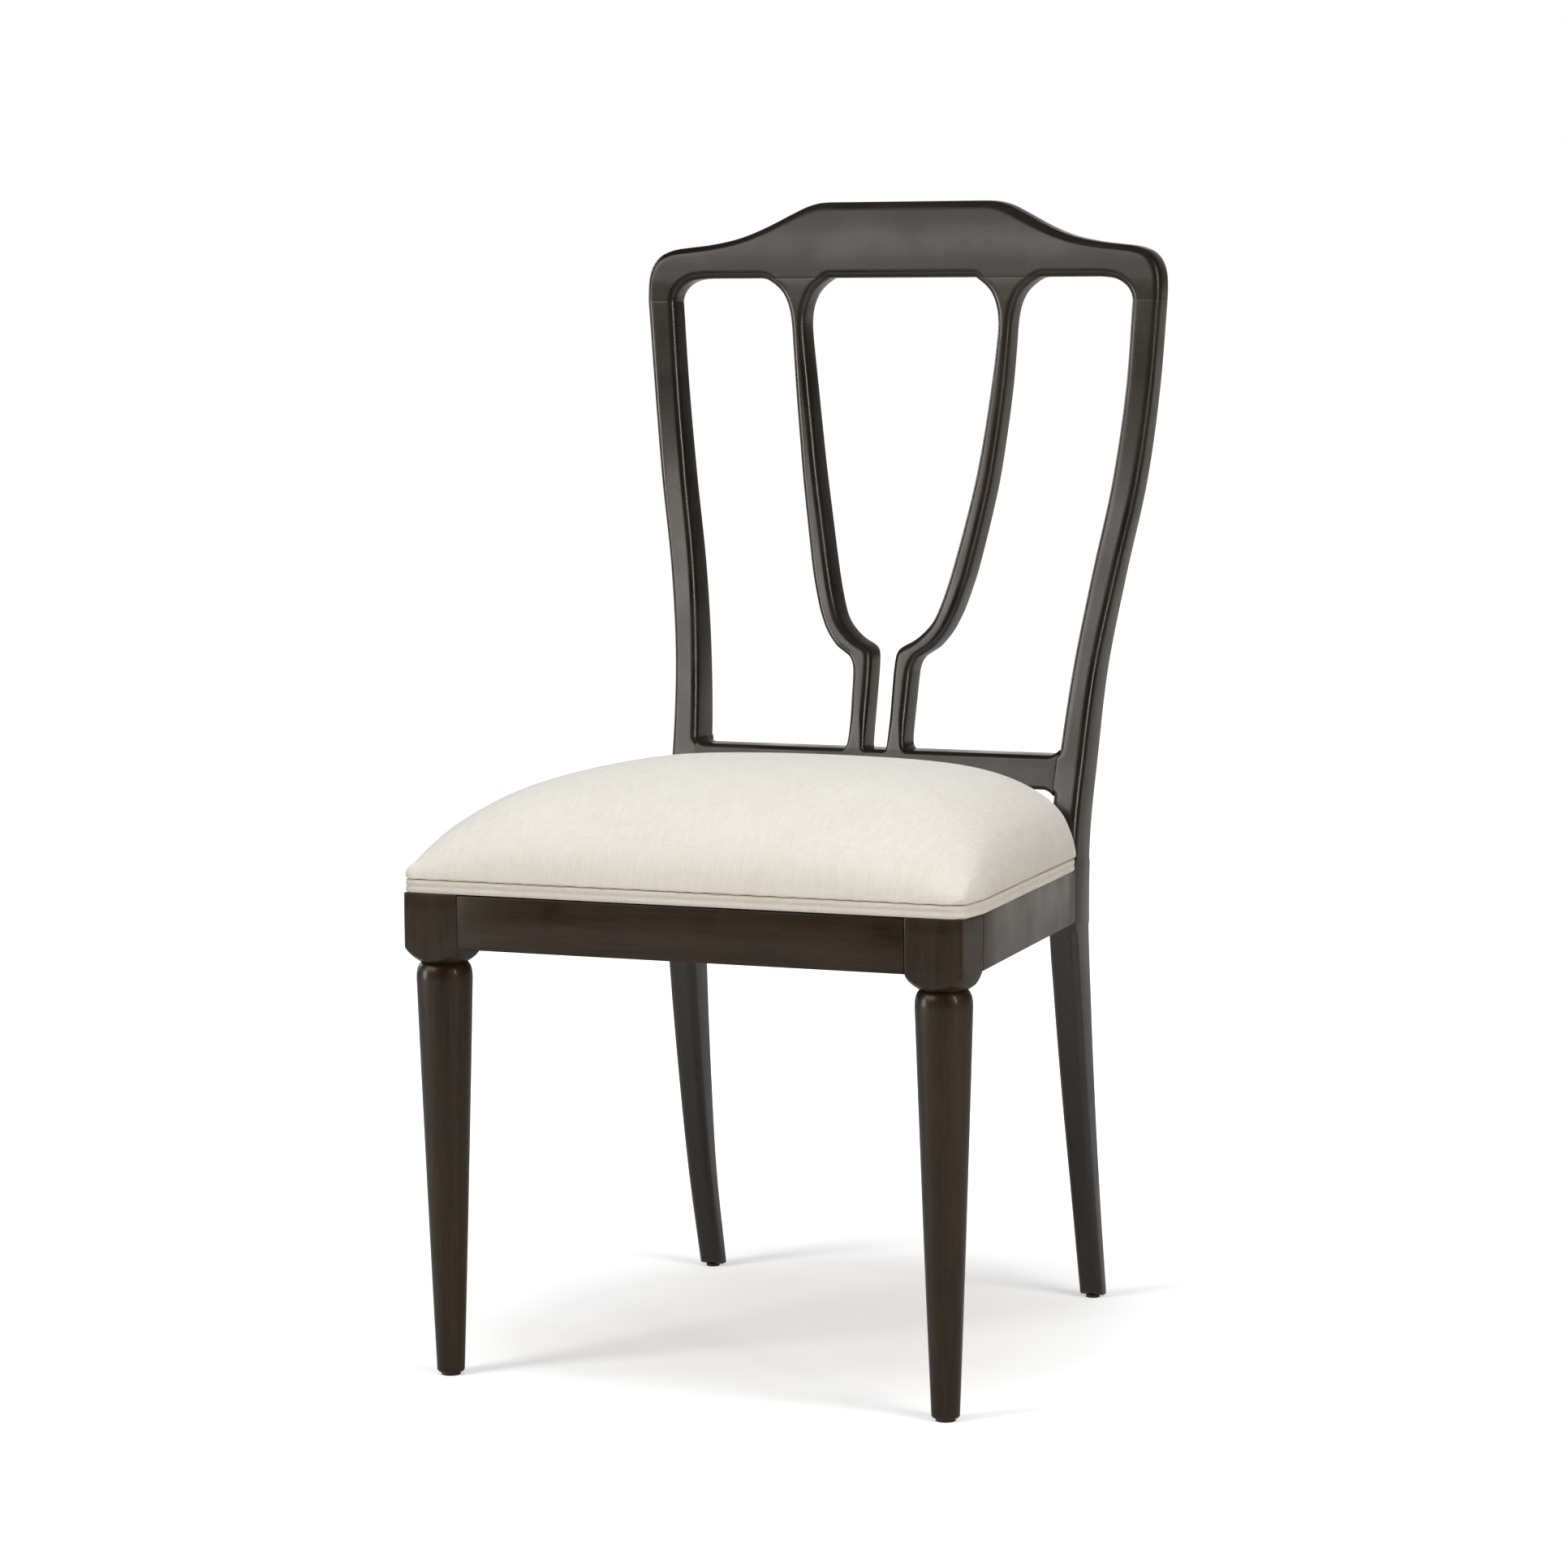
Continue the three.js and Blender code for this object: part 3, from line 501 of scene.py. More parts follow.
def distance_to(points: Array, segments: Array, batch: int = 500) -> Array:
    """Distance from points to the nearest of some segments, in two dimensions.

    Args:
        points: where the distance is measured from.
        segments: pairs of points.
        batch: how many points are measured at a time.

    Returns:
        One distance for each point.
    """
    start, along = segments[:, 0], segments[:, 1] - segments[:, 0]
    length = np.maximum((along**2).sum(1), 1e-12)
    out = np.empty(len(points))
    for k in range(0, len(points), batch):
        reach = points[k : k + batch, None, :] - start[None]
        t = np.clip((reach * along).sum(2) / length, 0, 1)
        out[k : k + batch] = np.sqrt(((reach - t[..., None] * along) ** 2).sum(2)).min(1)
    return out


def within(points: Array, ring: Array) -> Array:
    """Tells which points lie inside a closed ring, in two dimensions.

    Args:
        points: the points.
        ring: the ring's points in order.

    Returns:
        True for each point inside.
    """
    x, y = points[:, :1], points[:, 1:]
    a, b = ring, np.roll(ring, -1, axis=0)
    with np.errstate(divide="ignore", invalid="ignore"):
        crossing = (a[:, 0] - b[:, 0]) * (y - a[:, 1]) / (a[:, 1] - b[:, 1]) - (x - a[:, 0])
        hits = ((a[:, 1] > y) != (b[:, 1] > y)) & (crossing > 0)
    return hits.sum(1) % 2 == 1


def kept(points: Array, ring: Array, *limits: tuple[Array, float]) -> Array:
    """Points inside a ring that keep away from some segments.

    Args:
        points: the points.
        ring: the ring's points in order.
        limits: segments, each with the least distance from them.

    Returns:
        The points that are left.
    """
    points = points[within(points, ring)]
    return points[np.all([distance_to(points, segments) > least for segments, least in limits], axis=0)]


def left_of(steps: Array) -> Array:
    """Directions at right angles to some steps, to their left."""
    return np.column_stack([-steps[:, 1], steps[:, 0]]) / np.maximum(np.hypot(*steps.T), 1e-9)[:, None]


def other_side(line: Array) -> Array:
    """The same line on the chair's other side, run the other way."""
    return line[::-1] * np.array([-1, 1])


def twice_area(ring: Array) -> float:
    """Twice the area inside a ring, less than 0 for a ring that runs with the clock."""
    x, y = ring.T
    return float(np.sum(x * np.roll(y, -1) - y * np.roll(x, -1)))


# ---------------------------------------------------------------------------
# Finishes


class NodeSheet:
    """Lays out the nodes of one tree."""

    def __init__(self, tree: bpy.types.NodeTree) -> None:
        """Starts with an empty tree."""
        self.tree = tree
        tree.nodes.clear()

    def give(self, socket: Socket, value: object) -> None:
        """Feeds a socket.

        Args:
            socket: an input.
            value: an output to link to it, or its own value.
        """
        if isinstance(value, Socket):
            self.tree.links.new(value, socket)
        else:
            socket.default_value = value

    def node(self, kind: str, settings: dict[str, object] | None = None, **feeds: object) -> bpy.types.Node:
        """Adds a node.

        Args:
            kind: its type, without the leading ShaderNode.
            settings: its own options.
            feeds: values or outputs for its inputs; an input's number is written in0, in1 and so on.

        Returns:
            The node.
        """
        made = self.tree.nodes.new("ShaderNode" + kind)
        for key, value in (settings or {}).items():
            setattr(made, key, value)
        for key, value in feeds.items():
            numbered = key.startswith("in") and key[2:].isdigit()
            self.give(made.inputs[int(key[2:]) if numbered else key], value)
        return made

    def maths(self, way: str, a: object, b: object = 0.0) -> Socket:
        """One sum on numbers."""
        return self.node("Math", {"operation": way}, in0=a, in1=b).outputs[0]

    def times(self, a: object, b: object) -> Socket:
        """Two numbers multiplied."""
        return self.maths("MULTIPLY", a, b)

    def weighed(self, *parts: tuple[object, float]) -> Socket:
        """Sum of values, each times its weight.

        Args:
            parts: values with their weights.

        Returns:
            The sum.
        """
        total = self.times(*parts[0])
        for part in parts[1:]:
            total = self.maths("ADD", total, self.times(*part))
        return total

    def axes(self, vector: Socket) -> Sequence[Socket]:
        """A vector's X, Y and Z."""
        return self.node("SeparateXYZ", in0=vector).outputs

    def spread(
        self, value: Socket, low: float, high: float, out: Sequence[float] = (0, 1), eased: bool = False
    ) -> Socket:
        """A value moved from one range to another.

        Args:
            value: the value.
            low: start of its own range.
            high: end of its own range.
            out: the new range.
            eased: whether it starts and ends gently.

        Returns:
            The new value.
        """
        settings = {"interpolation_type": "SMOOTHSTEP" if eased else "LINEAR"}
        return self.node("MapRange", settings, in0=value, in1=low, in2=high, in3=out[0], in4=out[1]).outputs[0]


class Recipe(NodeSheet):
    """Lays out the nodes of one material."""

    def __init__(self, name: str) -> None:
        """Starts an empty material with one surface shader.

        Args:
            name: the material's name.
        """
        self.material = bpy.data.materials.new(name)
        self.material.use_nodes = True
        super().__init__(self.material.node_tree)
        self.skin = self.node("BsdfPrincipled")
        self.out = self.node("OutputMaterial", Surface=self.skin.outputs[0])

    def place(self, scale: Sequence[float] = (1, 1, 1)) -> Socket:
        """The object's own coordinates, stretched."""
        source = self.node("TexCoord").outputs["Object"]
        return self.node("Mapping", Vector=source, Scale=tuple(scale)).outputs[0]

    def noise(self, at: Socket, scale: float, detail: float = 3, rough: float = 0.5) -> Socket:
        """Noise from 0 to 1."""
        return self.node("TexNoise", Vector=at, Scale=scale, Detail=detail, Roughness=rough).outputs[0]

    def adrift(self, at: Socket, scale: float, reach: float) -> Socket:
        """Places moved about by slow noise.

        Args:
            at: the places.
            scale: how fast the noise changes.
            reach: how far it moves them, in metres.

        Returns:
            The moved places.
        """
        cloud = self.node("TexNoise", Vector=self.place(), Scale=scale, Detail=2.0)
        bend = self.node("VectorMath", {"operation": "SCALE"}, in0=cloud.outputs["Color"], Scale=reach)
        return self.node("VectorMath", {"operation": "ADD"}, in0=at, in1=bend.outputs[0]).outputs[0]

    def facing(self) -> list[Socket]:
        """How squarely the surface faces along X, Y and Z."""
        normal = self.node("NewGeometry").outputs["Normal"]
        return [self.maths("ABSOLUTE", part) for part in self.axes(normal)]

    def ramp(self, value: Socket, stops: Sequence[tuple[float, Sequence[float]]]) -> Socket:
        """Colours along a value.

        Args:
            value: the value.
            stops: places along it, each with its colour.

        Returns:
            The colour.
        """
        made = self.node("ValToRGB", in0=value)
        band = made.color_ramp
        while len(band.elements) < len(stops):
            band.elements.new(0.5)
        for element, (place, colour) in zip(band.elements, stops):
            element.position = place
            element.color = (*colour, 1)
        return made.outputs[0]

    def mix(self, share: object, first: object, second: object) -> Socket:
        """Mixes two colours.

        Args:
            share: how much there is of the second.
            first: a colour or an output.
            second: a colour or an output.

        Returns:
            The mixed colour.
        """
        made = self.node("Mix", {"data_type": "RGBA"}, in0=share)
        for number, value in ((6, first), (7, second)):
            self.give(made.inputs[number], value if isinstance(value, Socket) else (*value, 1))
        return made.outputs[2]

    def relief(self, height: Socket, depth: float, strength: float) -> None:
        """Raises the surface by a height of so many metres."""
        bump = self.node("Bump", Height=height, Strength=strength, Distance=depth)
        self.give(self.skin.inputs["Normal"], bump.outputs[0])

    def feed(self, **values: object) -> None:
        """Sets the surface shader's inputs; an underscore in a name stands for a space."""
        for key, value in values.items():
            self.give(self.skin.inputs[key.replace("_", " ")], value)


def between(first: Triple, second: Triple, share: float) -> Triple:
    """Colour between two, nearer the second as the share grows."""
    return tuple((1 - share) * a + share * b for a, b in zip(first, second))


@dataclass(frozen=True)
class DarkStain:
    """Dark stain under a satin lacquer, on a close-grained hardwood: espresso, unless it is told otherwise."""

    name: str = "espresso"
    dark: Triple = (0.0098, 0.0056, 0.0028)
    warm: Triple = (0.045, 0.025, 0.0105)
    pore: Triple = (0.008, 0.0055, 0.0045)
    sheen_rough: float = 0.31
    shine: float = 0.2
    relief: float = 0.00014
    fibre_scale: float = 330
    broad_scale: float = 62
    cloud_scale: float = 15
    pore_scale: float = 1150
    pore_share: float = 0.55
    tint: tuple[float, ...] = (1, 0.965, 0.9, 1)
    lacquer: float = 0.14
    lacquer_rough: float = 0.11

    def build(self, grain: Grain) -> Material:
        """Makes the material.

        Args:
            grain: the way the piece's grain runs.

        Returns:
            The material.
        """
        recipe = Recipe(f"{self.name}_{grain.name.lower()}")
        wavy = recipe.adrift(recipe.place(grain.value), 9.0, 0.0035)
        fibre = recipe.noise(wavy, self.fibre_scale, 5, 0.62)
        broad = recipe.noise(wavy, self.broad_scale)
        cloud = recipe.noise(recipe.place(), self.cloud_scale, 2)
        pores = recipe.spread(recipe.noise(wavy, self.pore_scale, 2), 0.60, 0.72)
        tone = recipe.weighed((fibre, 0.45), (broad, 0.35), (cloud, 0.35))
        stops = [(0.36, self.dark), (0.56, between(self.dark, self.warm, 0.5)), (0.78, self.warm)]
        satin = recipe.spread(cloud, 0.3, 0.7, (self.sheen_rough - 0.06, self.sheen_rough + 0.1))
        recipe.feed(
            Base_Color=recipe.mix(recipe.times(pores, self.pore_share), recipe.ramp(tone, stops), self.pore),
            Roughness=recipe.weighed((satin, 1.0), (fibre, 0.06)),
            Specular_IOR_Level=self.shine,
            Specular_Tint=self.tint,
            Coat_Weight=self.lacquer,
            Coat_Roughness=self.lacquer_rough,
        )
        recipe.relief(recipe.weighed((fibre, 0.5), (pores, -0.4)), self.relief, 0.7)
        return recipe.material


@dataclass(frozen=True)
class Linen:
    """Oatmeal linen in a plain weave with slubs, which follows whichever way a surface faces."""

    pale: Triple = (0.83, 0.77, 0.68)
    deep: Triple = (0.735, 0.66, 0.565)
    thread: float = 0.00072
    slub_scale: float = 620
    cloud_scale: float = 16
    relief: float = 0.00028

    def build(self) -> Material:
        """Makes the material.

        Returns:
            The material.
        """
        recipe = Recipe("linen_weave")
        turn = math.pi / self.thread
        at = recipe.axes(recipe.adrift(recipe.place(), 45.0, 0.0035))
        wave = [recipe.maths("SINE", recipe.times(part, turn)) for part in at]
        share = [recipe.maths("POWER", part, 4.0) for part in recipe.facing()]
        total = recipe.maths("ADD", recipe.maths("ADD", share[0], share[1]), share[2])
        crossed = [recipe.times(wave[(k + 1) % 3], wave[(k + 2) % 3]) for k in range(3)]
        weave = recipe.weighed(*[(crossed[k], recipe.maths("DIVIDE", share[k], total)) for k in range(3)])
        slub_x = recipe.noise(recipe.place((0.09, 1, 1)), self.slub_scale, 2, 0.6)
        slub_y = recipe.noise(recipe.place((1, 0.09, 0.09)), self.slub_scale, 2, 0.6)
        slub = recipe.weighed((slub_x, 0.38), (slub_y, 0.62))
        cloud = recipe.noise(recipe.place(), self.cloud_scale, 4, 0.6)
        tone = recipe.weighed((slub, 0.8), (weave, 0.1), (cloud, 0.2))
        stops = [(0.34, self.deep), (0.5, between(self.deep, self.pale, 0.6)), (0.66, self.pale)]
        recipe.feed(
            Base_Color=recipe.ramp(tone, stops),
            Roughness=0.9,
            Specular_IOR_Level=0.22,
            Sheen_Weight=0.22,
            Sheen_Roughness=0.5,
        )
        recipe.relief(recipe.weighed((weave, 0.5), (slub, 0.9)), self.relief, 0.75)
        return recipe.material


@dataclass(frozen=True)
class RawWood:
    """Unstained wood that stays out of sight, with growth rings and a dull surface."""

    name: str
    early: Triple
    late: Triple
    grain: Grain = Grain.ACROSS

    def build(self) -> Material:
        """Makes the material.

        Returns:
            The material.
        """
        recipe = Recipe(self.name)
        along = recipe.place(self.grain.value)
        ways = {"wave_type": "RINGS", "rings_direction": "Z"}
        rings = recipe.node("TexWave", ways, Vector=along, Scale=38.0, Distortion=6.0, Detail=3.0)
        fibre = recipe.noise(along, 420, 4, 0.6)
        tone = recipe.weighed((rings.outputs["Fac"], 0.45), (fibre, 0.4), (recipe.noise(along, 40), 0.2))
        recipe.feed(
            Base_Color=recipe.ramp(tone, [(0.25, self.late), (0.75, self.early)]),
            Roughness=recipe.spread(fibre, 0.3, 0.7, (0.62, 0.8)),
            Specular_IOR_Level=0.3,
        )
        recipe.relief(fibre, 0.00015, 0.6)
        return recipe.material


@dataclass(frozen=True)
class PlySheet:
    """Birch plywood whose layers show at its edges."""

    face: Triple = (0.60, 0.43, 0.26)
    glue: Triple = (0.22, 0.13, 0.07)
    layer: float = 0.0018

    def build(self) -> Material:
        """Makes the material.

        Returns:
            The material.
        """
        recipe = Recipe("birch_plywood")
        height = recipe.axes(recipe.place())[2]
        bands = recipe.maths("ABSOLUTE", recipe.maths("SINE", recipe.times(height, math.pi / self.layer)))
        seams = recipe.spread(bands, 0.0, 0.3, (1, 0))
        edge = recipe.spread(recipe.facing()[2], 0.3, 0.7, (1, 0))
        fibre = recipe.noise(recipe.place(Grain.DEEP.value), 260, 4, 0.6)
        darker = tuple(0.78 * c for c in self.face)
        veneer = recipe.mix(recipe.spread(fibre, 0.3, 0.7), darker, self.face)
        recipe.feed(
            Base_Color=recipe.mix(recipe.times(seams, edge), veneer, self.glue),
            Roughness=recipe.spread(fibre, 0.3, 0.7, (0.55, 0.75)),
        )
        recipe.relief(fibre, 0.0001, 0.5)
        return recipe.material


@dataclass(frozen=True)
class PlainFinish:
    """Metal, moulded glides or bonded cloth: a fine grit over a base colour."""

    name: str
    colour: Triple
    other: Triple
    rough: tuple[float, float]
    grit: float
    depth: float
    metal: float = 0.0
    stretch: Triple = (1, 1, 1)

    def build(self) -> Material:
        """Makes the material.

        Returns:
            The material.
        """
        recipe = Recipe(self.name)
        grit = recipe.noise(recipe.place(self.stretch), self.grit, 4, 0.6)
        tone = recipe.weighed((grit, 0.7), (recipe.noise(recipe.place(), self.grit / 14, 2), 0.3))
        recipe.feed(
            Base_Color=recipe.mix(recipe.spread(tone, 0.35, 0.65), self.other, self.colour),
            Roughness=recipe.spread(tone, 0.3, 0.7, self.rough),
            Metallic=self.metal,
        )
        recipe.relief(grit, self.depth, 0.6)
        return recipe.material


def stained(stain: DarkStain, shiniest: Grain, shine: float) -> dict[Grain, Material]:
    """A stain for each way of the grain, shinier on one of them.

    Args:
        stain: the stain.
        shiniest: the way of the grain that shines more.
        shine: how much it shines.

    Returns:
        The materials.
    """
    return {grain: (replace(stain, shine=shine) if grain is shiniest else stain).build(grain) for grain in Grain}


EBONY = DarkStain(
    "ebony", (0.0055, 0.0041, 0.0031), (0.0205, 0.0142, 0.0092), sheen_rough=0.25, shine=0.35, relief=0.00006
)
DUST_CLOTH = PlainFinish("black_dust_cloth", (0.014, 0.014, 0.015), (0.006, 0.006, 0.007), (0.8, 0.98), 900, 0.0002)


@dataclass
class Finishes:
    """The finishes that several pieces share, made once: the back's uprights and the side rails shine more."""

    espresso: dict[Grain, Material] = field(default_factory=partial(stained, DarkStain(), Grain.DEEP, 0.6))
    ebony: dict[Grain, Material] = field(default_factory=partial(stained, EBONY, Grain.UPRIGHT, 0.54))
    linen: Material = field(default_factory=Linen().build)
    dust: Material = field(default_factory=DUST_CLOTH.build)


# ---------------------------------------------------------------------------
# The back


@dataclass(frozen=True)
class Run:
    """One stretch of a piece's edge as seen from the front, open or in a joint."""

    points: Array
    open: bool = True

    @property
    def segments(self) -> Array:
        """The stretch as pairs of points."""
        return np.stack([self.points[:-1], self.points[1:]], axis=1)

    def inset(self, reach: float, turn: float) -> Array:
        """The stretch moved into its piece, whose edges turn against the clock (1) or with it (-1)."""
        return self.points + left_of(np.gradient(self.points, axis=0)) * turn * reach

    def mirrored(self) -> "Run":
        """The same stretch on the chair's other side, run the other way."""
        return Run(other_side(self.points), self.open)


def mirror(runs: Sequence[Run]) -> list[Run]:
    """Edges of the same piece on the chair's other side."""
    return [run.mirrored() for run in reversed(runs)]


def outline(runs: Sequence[Run]) -> tuple[Array, float]:
    """A piece's edges as one ring, with 1 if it runs against the clock or -1 if it runs with it."""
    ring = np.concatenate([run.points[:-1] for run in runs])
    return ring, math.copysign(1, twice_area(ring))


def rounding(size: Array, reach: Array) -> Array:
    """How far a surface falls at some distance from an edge that is rounded by a radius."""
    inside = size - np.minimum(reach, size)
    return size - np.sqrt(np.maximum(size**2 - inside**2, 0))


def even(size: float) -> Profile:
    """The same measure at every height."""
    return partial(np.full_like, fill_value=size)


@dataclass(frozen=True)
class Board:
    """One flat-sawn piece of the back, with its thickness and its rounding at each height."""

    name: str
    node: str
    grain: Grain
    runs: list[Run]
    depth: Profile
    radius: Profile


@dataclass
class Back:
    """The back: two posts, a crest rail, a stay rail and two lyre slats, rounded over as one."""

    finishes: Finishes
    spacing: float = 2.2
    front_round: float = 6.4
    back_round: float = 3.4
    rail_round: float = 1.2
    stay_round: float = 3.6
    most_round: float = 0.42
    rail_reach: tuple[float, float] = (334.0, 403.0)
    slat_foot: tuple[float, float] = (520.0, 488.0)
    fade: float = 10.0
    slat_depth: float = 29.0
    stay_depth: float = 28.0
    stay_height: float = 29.0
    stay_flare: float = 5.0
    stay_gap: float = 0.2
    groove: float = 0.06
    groove_reach: float = 0.9
    groove_start: tuple[float, float] = (1.5, 6.5)
    margin: float = 15.0
    grid_gap: float = 2.0
    clear: float = 0.4
    own_edge: float = 0.97
    mesh_step: float = 5.0
    joint_step: float = 1.1
    joint_rings: tuple[float, ...] = (0.45, 1.0)
    rings: tuple[float, ...] = (0.1, 0.45, 1.0, 1.8, 2.8, 3.9, 5.1, 6.4, 8.2)
    crest_top: Line = (
        (0, 965), (25, 965), (50, 965), (66, 965), (76, 964.9), (84, 964.2), (94.5, 961.3), (107, 955.6),
        (119, 949.6), (131, 943.7), (144, 938.2), (156, 934), (168, 931), (185, 928), (203, 926), (218, 924),
        (229, 920), (235.5, 914.5), (239.4, 908), (241.8, 900), (242.6, 890), (242.5, 878),
    )
    crest_corner: Line = ((215.2, 882.4), (212.2, 888), (207, 892.8), (199, 896.5), (187, 898))
    slat_outer: Line = (
        (30, 486.5), (27.6, 489.2), (26.7, 494), (26.5, 505), (27.2, 532), (27.6, 548), (28.6, 558), (32, 565.2),
        (38, 569.6), (45.1, 574.5), (52.6, 583), (57.8, 591), (61.9, 599.6), (65.3, 608), (70.5, 625), (74.5, 640),
        (82.5, 680), (89.6, 720), (95, 760), (99.6, 800), (103, 840), (104.6, 860), (107.5, 874), (113, 885),
        (121, 892.6), (128, 896.8), (133, 898),
    )
    slat_inner: Line = (
        (9.8, 486.5), (10.4, 489), (10.7, 500), (10.6, 545), (10.9, 560), (11.8, 568.5), (14, 573), (18.9, 576.5),
        (26, 580.2), (32.9, 585.4), (40.6, 593.5), (45.6, 602), (51.4, 619), (57, 640), (65.8, 680), (73.8, 720),
        (80, 760), (85.3, 800), (89.6, 836), (91.3, 857), (90, 871), (85.6, 883), (79, 891), (69.5, 898),
    )

    def smooth(self, *points: Sequence[float]) -> Run:
        """Open edge through some points."""
        return Run(smooth_line(points, self.spacing))

    def post_side(self, line: Profile, low: float, high: float) -> Array:
        """One side of a post between two heights."""
        z = np.linspace(low, high, max(2, int((high - low) / self.spacing)))
        return np.column_stack([line(z), z])

    def post_runs(self) -> list[Run]:
        """Edges of the right post, round it from the outer foot.

        Returns:
            Its stretches in order.
        """
        low, high = LINES.stay_top - self.stay_height - self.stay_flare, LINES.stay_top + self.stay_flare
        foot, top = LINES.glide_height, LINES.post_top
        outer, inner = self.post_side(LINES.post_out, foot, top), self.post_side(LINES.post_in, high, top)
        lower = self.post_side(LINES.post_in, foot, low)
        return [
            Run(outer),
            self.joint_line(outer[-1], inner[-1]),
            Run(inner[::-1]),
            Run(self.post_side(LINES.post_in, low, high)[::-1], open=False),
            Run(lower[::-1]),
            self.smooth(lower[0], outer[0]),
        ]

    def joint_line(self, start: Sequence[float], end: Sequence[float]) -> Run:
        """Straight joint between two pieces, with points where the rounding of the edges needs them.

        Args:
            start: where the joint starts.
            end: where it ends.

        Returns:
            The joint.
        """
        start, end = np.asarray(start, float), np.asarray(end, float)
        length = float(np.hypot(*(end - start)))
        near = [r for r in self.rings if r < length / 2]
        inner = np.arange(near[-1] + 1, length - near[-1] - 0.5, self.joint_step)
        places = np.unique(np.round([0, *near, *inner, *[length - r for r in near], length], 4))
        return Run(start + (end - start) * (places / length)[:, None], open=False)

    def slat_runs(self) -> list[Run]:
        """Edges of the right slat, up its outer side, over its head and down its inner side.

        Returns:
            Its stretches in order.
        """
        outer, inner = self.smooth(*self.slat_outer), smooth_line(self.slat_inner, self.spacing)
        head, foot = (outer.points[-1], inner[-1]), (inner[0], outer.points[0])
        return [outer, self.joint_line(*head), Run(inner[::-1]), self.joint_line(*foot)]

    def crest_runs(self) -> list[Run]:
        """Edges of the crest rail, along its top from left to right and back along its underside.

        Returns:
            Its stretches in order.
        """
        over = self.smooth(*self.crest_top)
        corner = self.smooth((float(LINES.post_in(LINES.post_top)), LINES.post_top), *self.crest_corner)
        head_out, head_in = self.slat_outer[-1], self.slat_inner[-1]
        joint = self.joint_line(over.points[-1], corner.points[0])
        right = [over, joint, corner, self.smooth(self.crest_corner[-1], head_out), self.joint_line(head_out, head_in)]
        middle = self.smooth(head_in, (-head_in[0], head_in[1]))
        return [*right, middle, *mirror(right)]

    def stay_edge(self, z: float, way: int, start: float) -> Array:
        """Upper or lower edge of the stay rail's right half, which spreads where it meets the post.

        Args:
            z: its height at the middle of the chair.
            way: 1 for the upper edge, -1 for the lower.
            start: how far from the middle it starts.

        Returns:
            Its points, out to the post.
        """
        reach = 2 * self.stay_flare
        end = float(LINES.post_in(z + way * self.stay_flare)) - self.stay_gap
        x = np.concatenate([np.linspace(start, end - reach, 60), end - reach + reach * np.linspace(0.12, 1, 9)])
        lift = self.stay_flare * np.maximum(0, (x - (end - reach)) / reach) ** 2
        return np.column_stack([x, z + way * lift])

    def stay_runs(self) -> list[Run]:
        """Edges of the stay rail.

        Returns:
            Its stretches in order.
        """
        foot_out, foot_in = self.slat_outer[0], self.slat_inner[0]
        upper = self.stay_edge(LINES.stay_top, 1, foot_out[0])
        lower = self.stay_edge(LINES.stay_top - self.stay_height, -1, 0.0)
        z = np.linspace(lower[-1][1], upper[-1][1], 14)
        side = np.column_stack([LINES.post_in(z) - self.stay_gap, z])
        side[0], side[-1] = lower[-1], upper[-1]
        right = [Run(lower), Run(side, open=False), Run(upper[::-1]), self.joint_line(foot_out, foot_in)]
        middle = self.smooth(foot_in, (-foot_in[0], foot_in[1]))
        return [*right, middle, *mirror(right)]

    def post_radius(self, z: Array) -> Array:
        """Rounding of the posts, whose edges stay crisp beside the side rails.

        Args:
            z: heights.

        Returns:
            The radius at each height.
        """
        low, high = self.rail_reach
        beside = blend(low, low + self.fade, z) * blend(high, high - self.fade, z)
        less = (self.front_round - self.rail_round) * beside
        return np.minimum(self.front_round - less, self.most_round * LINES.depth(z))

    def slat_radius(self, z: Array) -> Array:
        """Rounding of the slats, which narrows into the stay rail's."""
        return self.front_round + (self.stay_round - self.front_round) * blend(*self.slat_foot, z)

    def slat_thickness(self, z: Array) -> Array:
        """Thickness of the slats, nowhere more than the posts'."""
        return np.minimum(self.slat_depth, LINES.depth(z))

    def cross_boards(self) -> list[Board]:
        """Draws the crest rail and the stay rail.

        Returns:
            The two pieces.
        """
        crest, stay = self.crest_runs(), self.stay_runs()
        return [
            Board("shaped_crest", "crest_rail", Grain.ACROSS, crest, LINES.depth, even(self.front_round)),
            Board("low_stay", "stay_rail", Grain.ACROSS, stay, even(self.stay_depth), even(self.stay_round)),
        ]

    def upright_boards(self) -> list[Board]:
        """Draws the posts and the slats.

        Returns:
            The four pieces.
        """
        post, slat = self.post_runs(), self.slat_runs()
        made = []
        for hand in Hand:
            side, own = hand.word, list if hand is Hand.RIGHT else mirror
            names = f"raked_post_{side}", f"back_post_{side}"
            made.append(Board(*names, Grain.UPRIGHT, own(post), LINES.depth, self.post_radius))
            names = f"lyre_slat_{side}", f"back_slat_{side}"
            made.append(Board(*names, Grain.UPRIGHT, own(slat), self.slat_thickness, self.slat_radius))
        return made

    def reach_of(self, ring: Array) -> tuple[Array, Array]:
        """Lowest and highest corner of the field in which open edges count for a piece."""
        return ring.min(0) - self.margin, ring.max(0) + self.margin

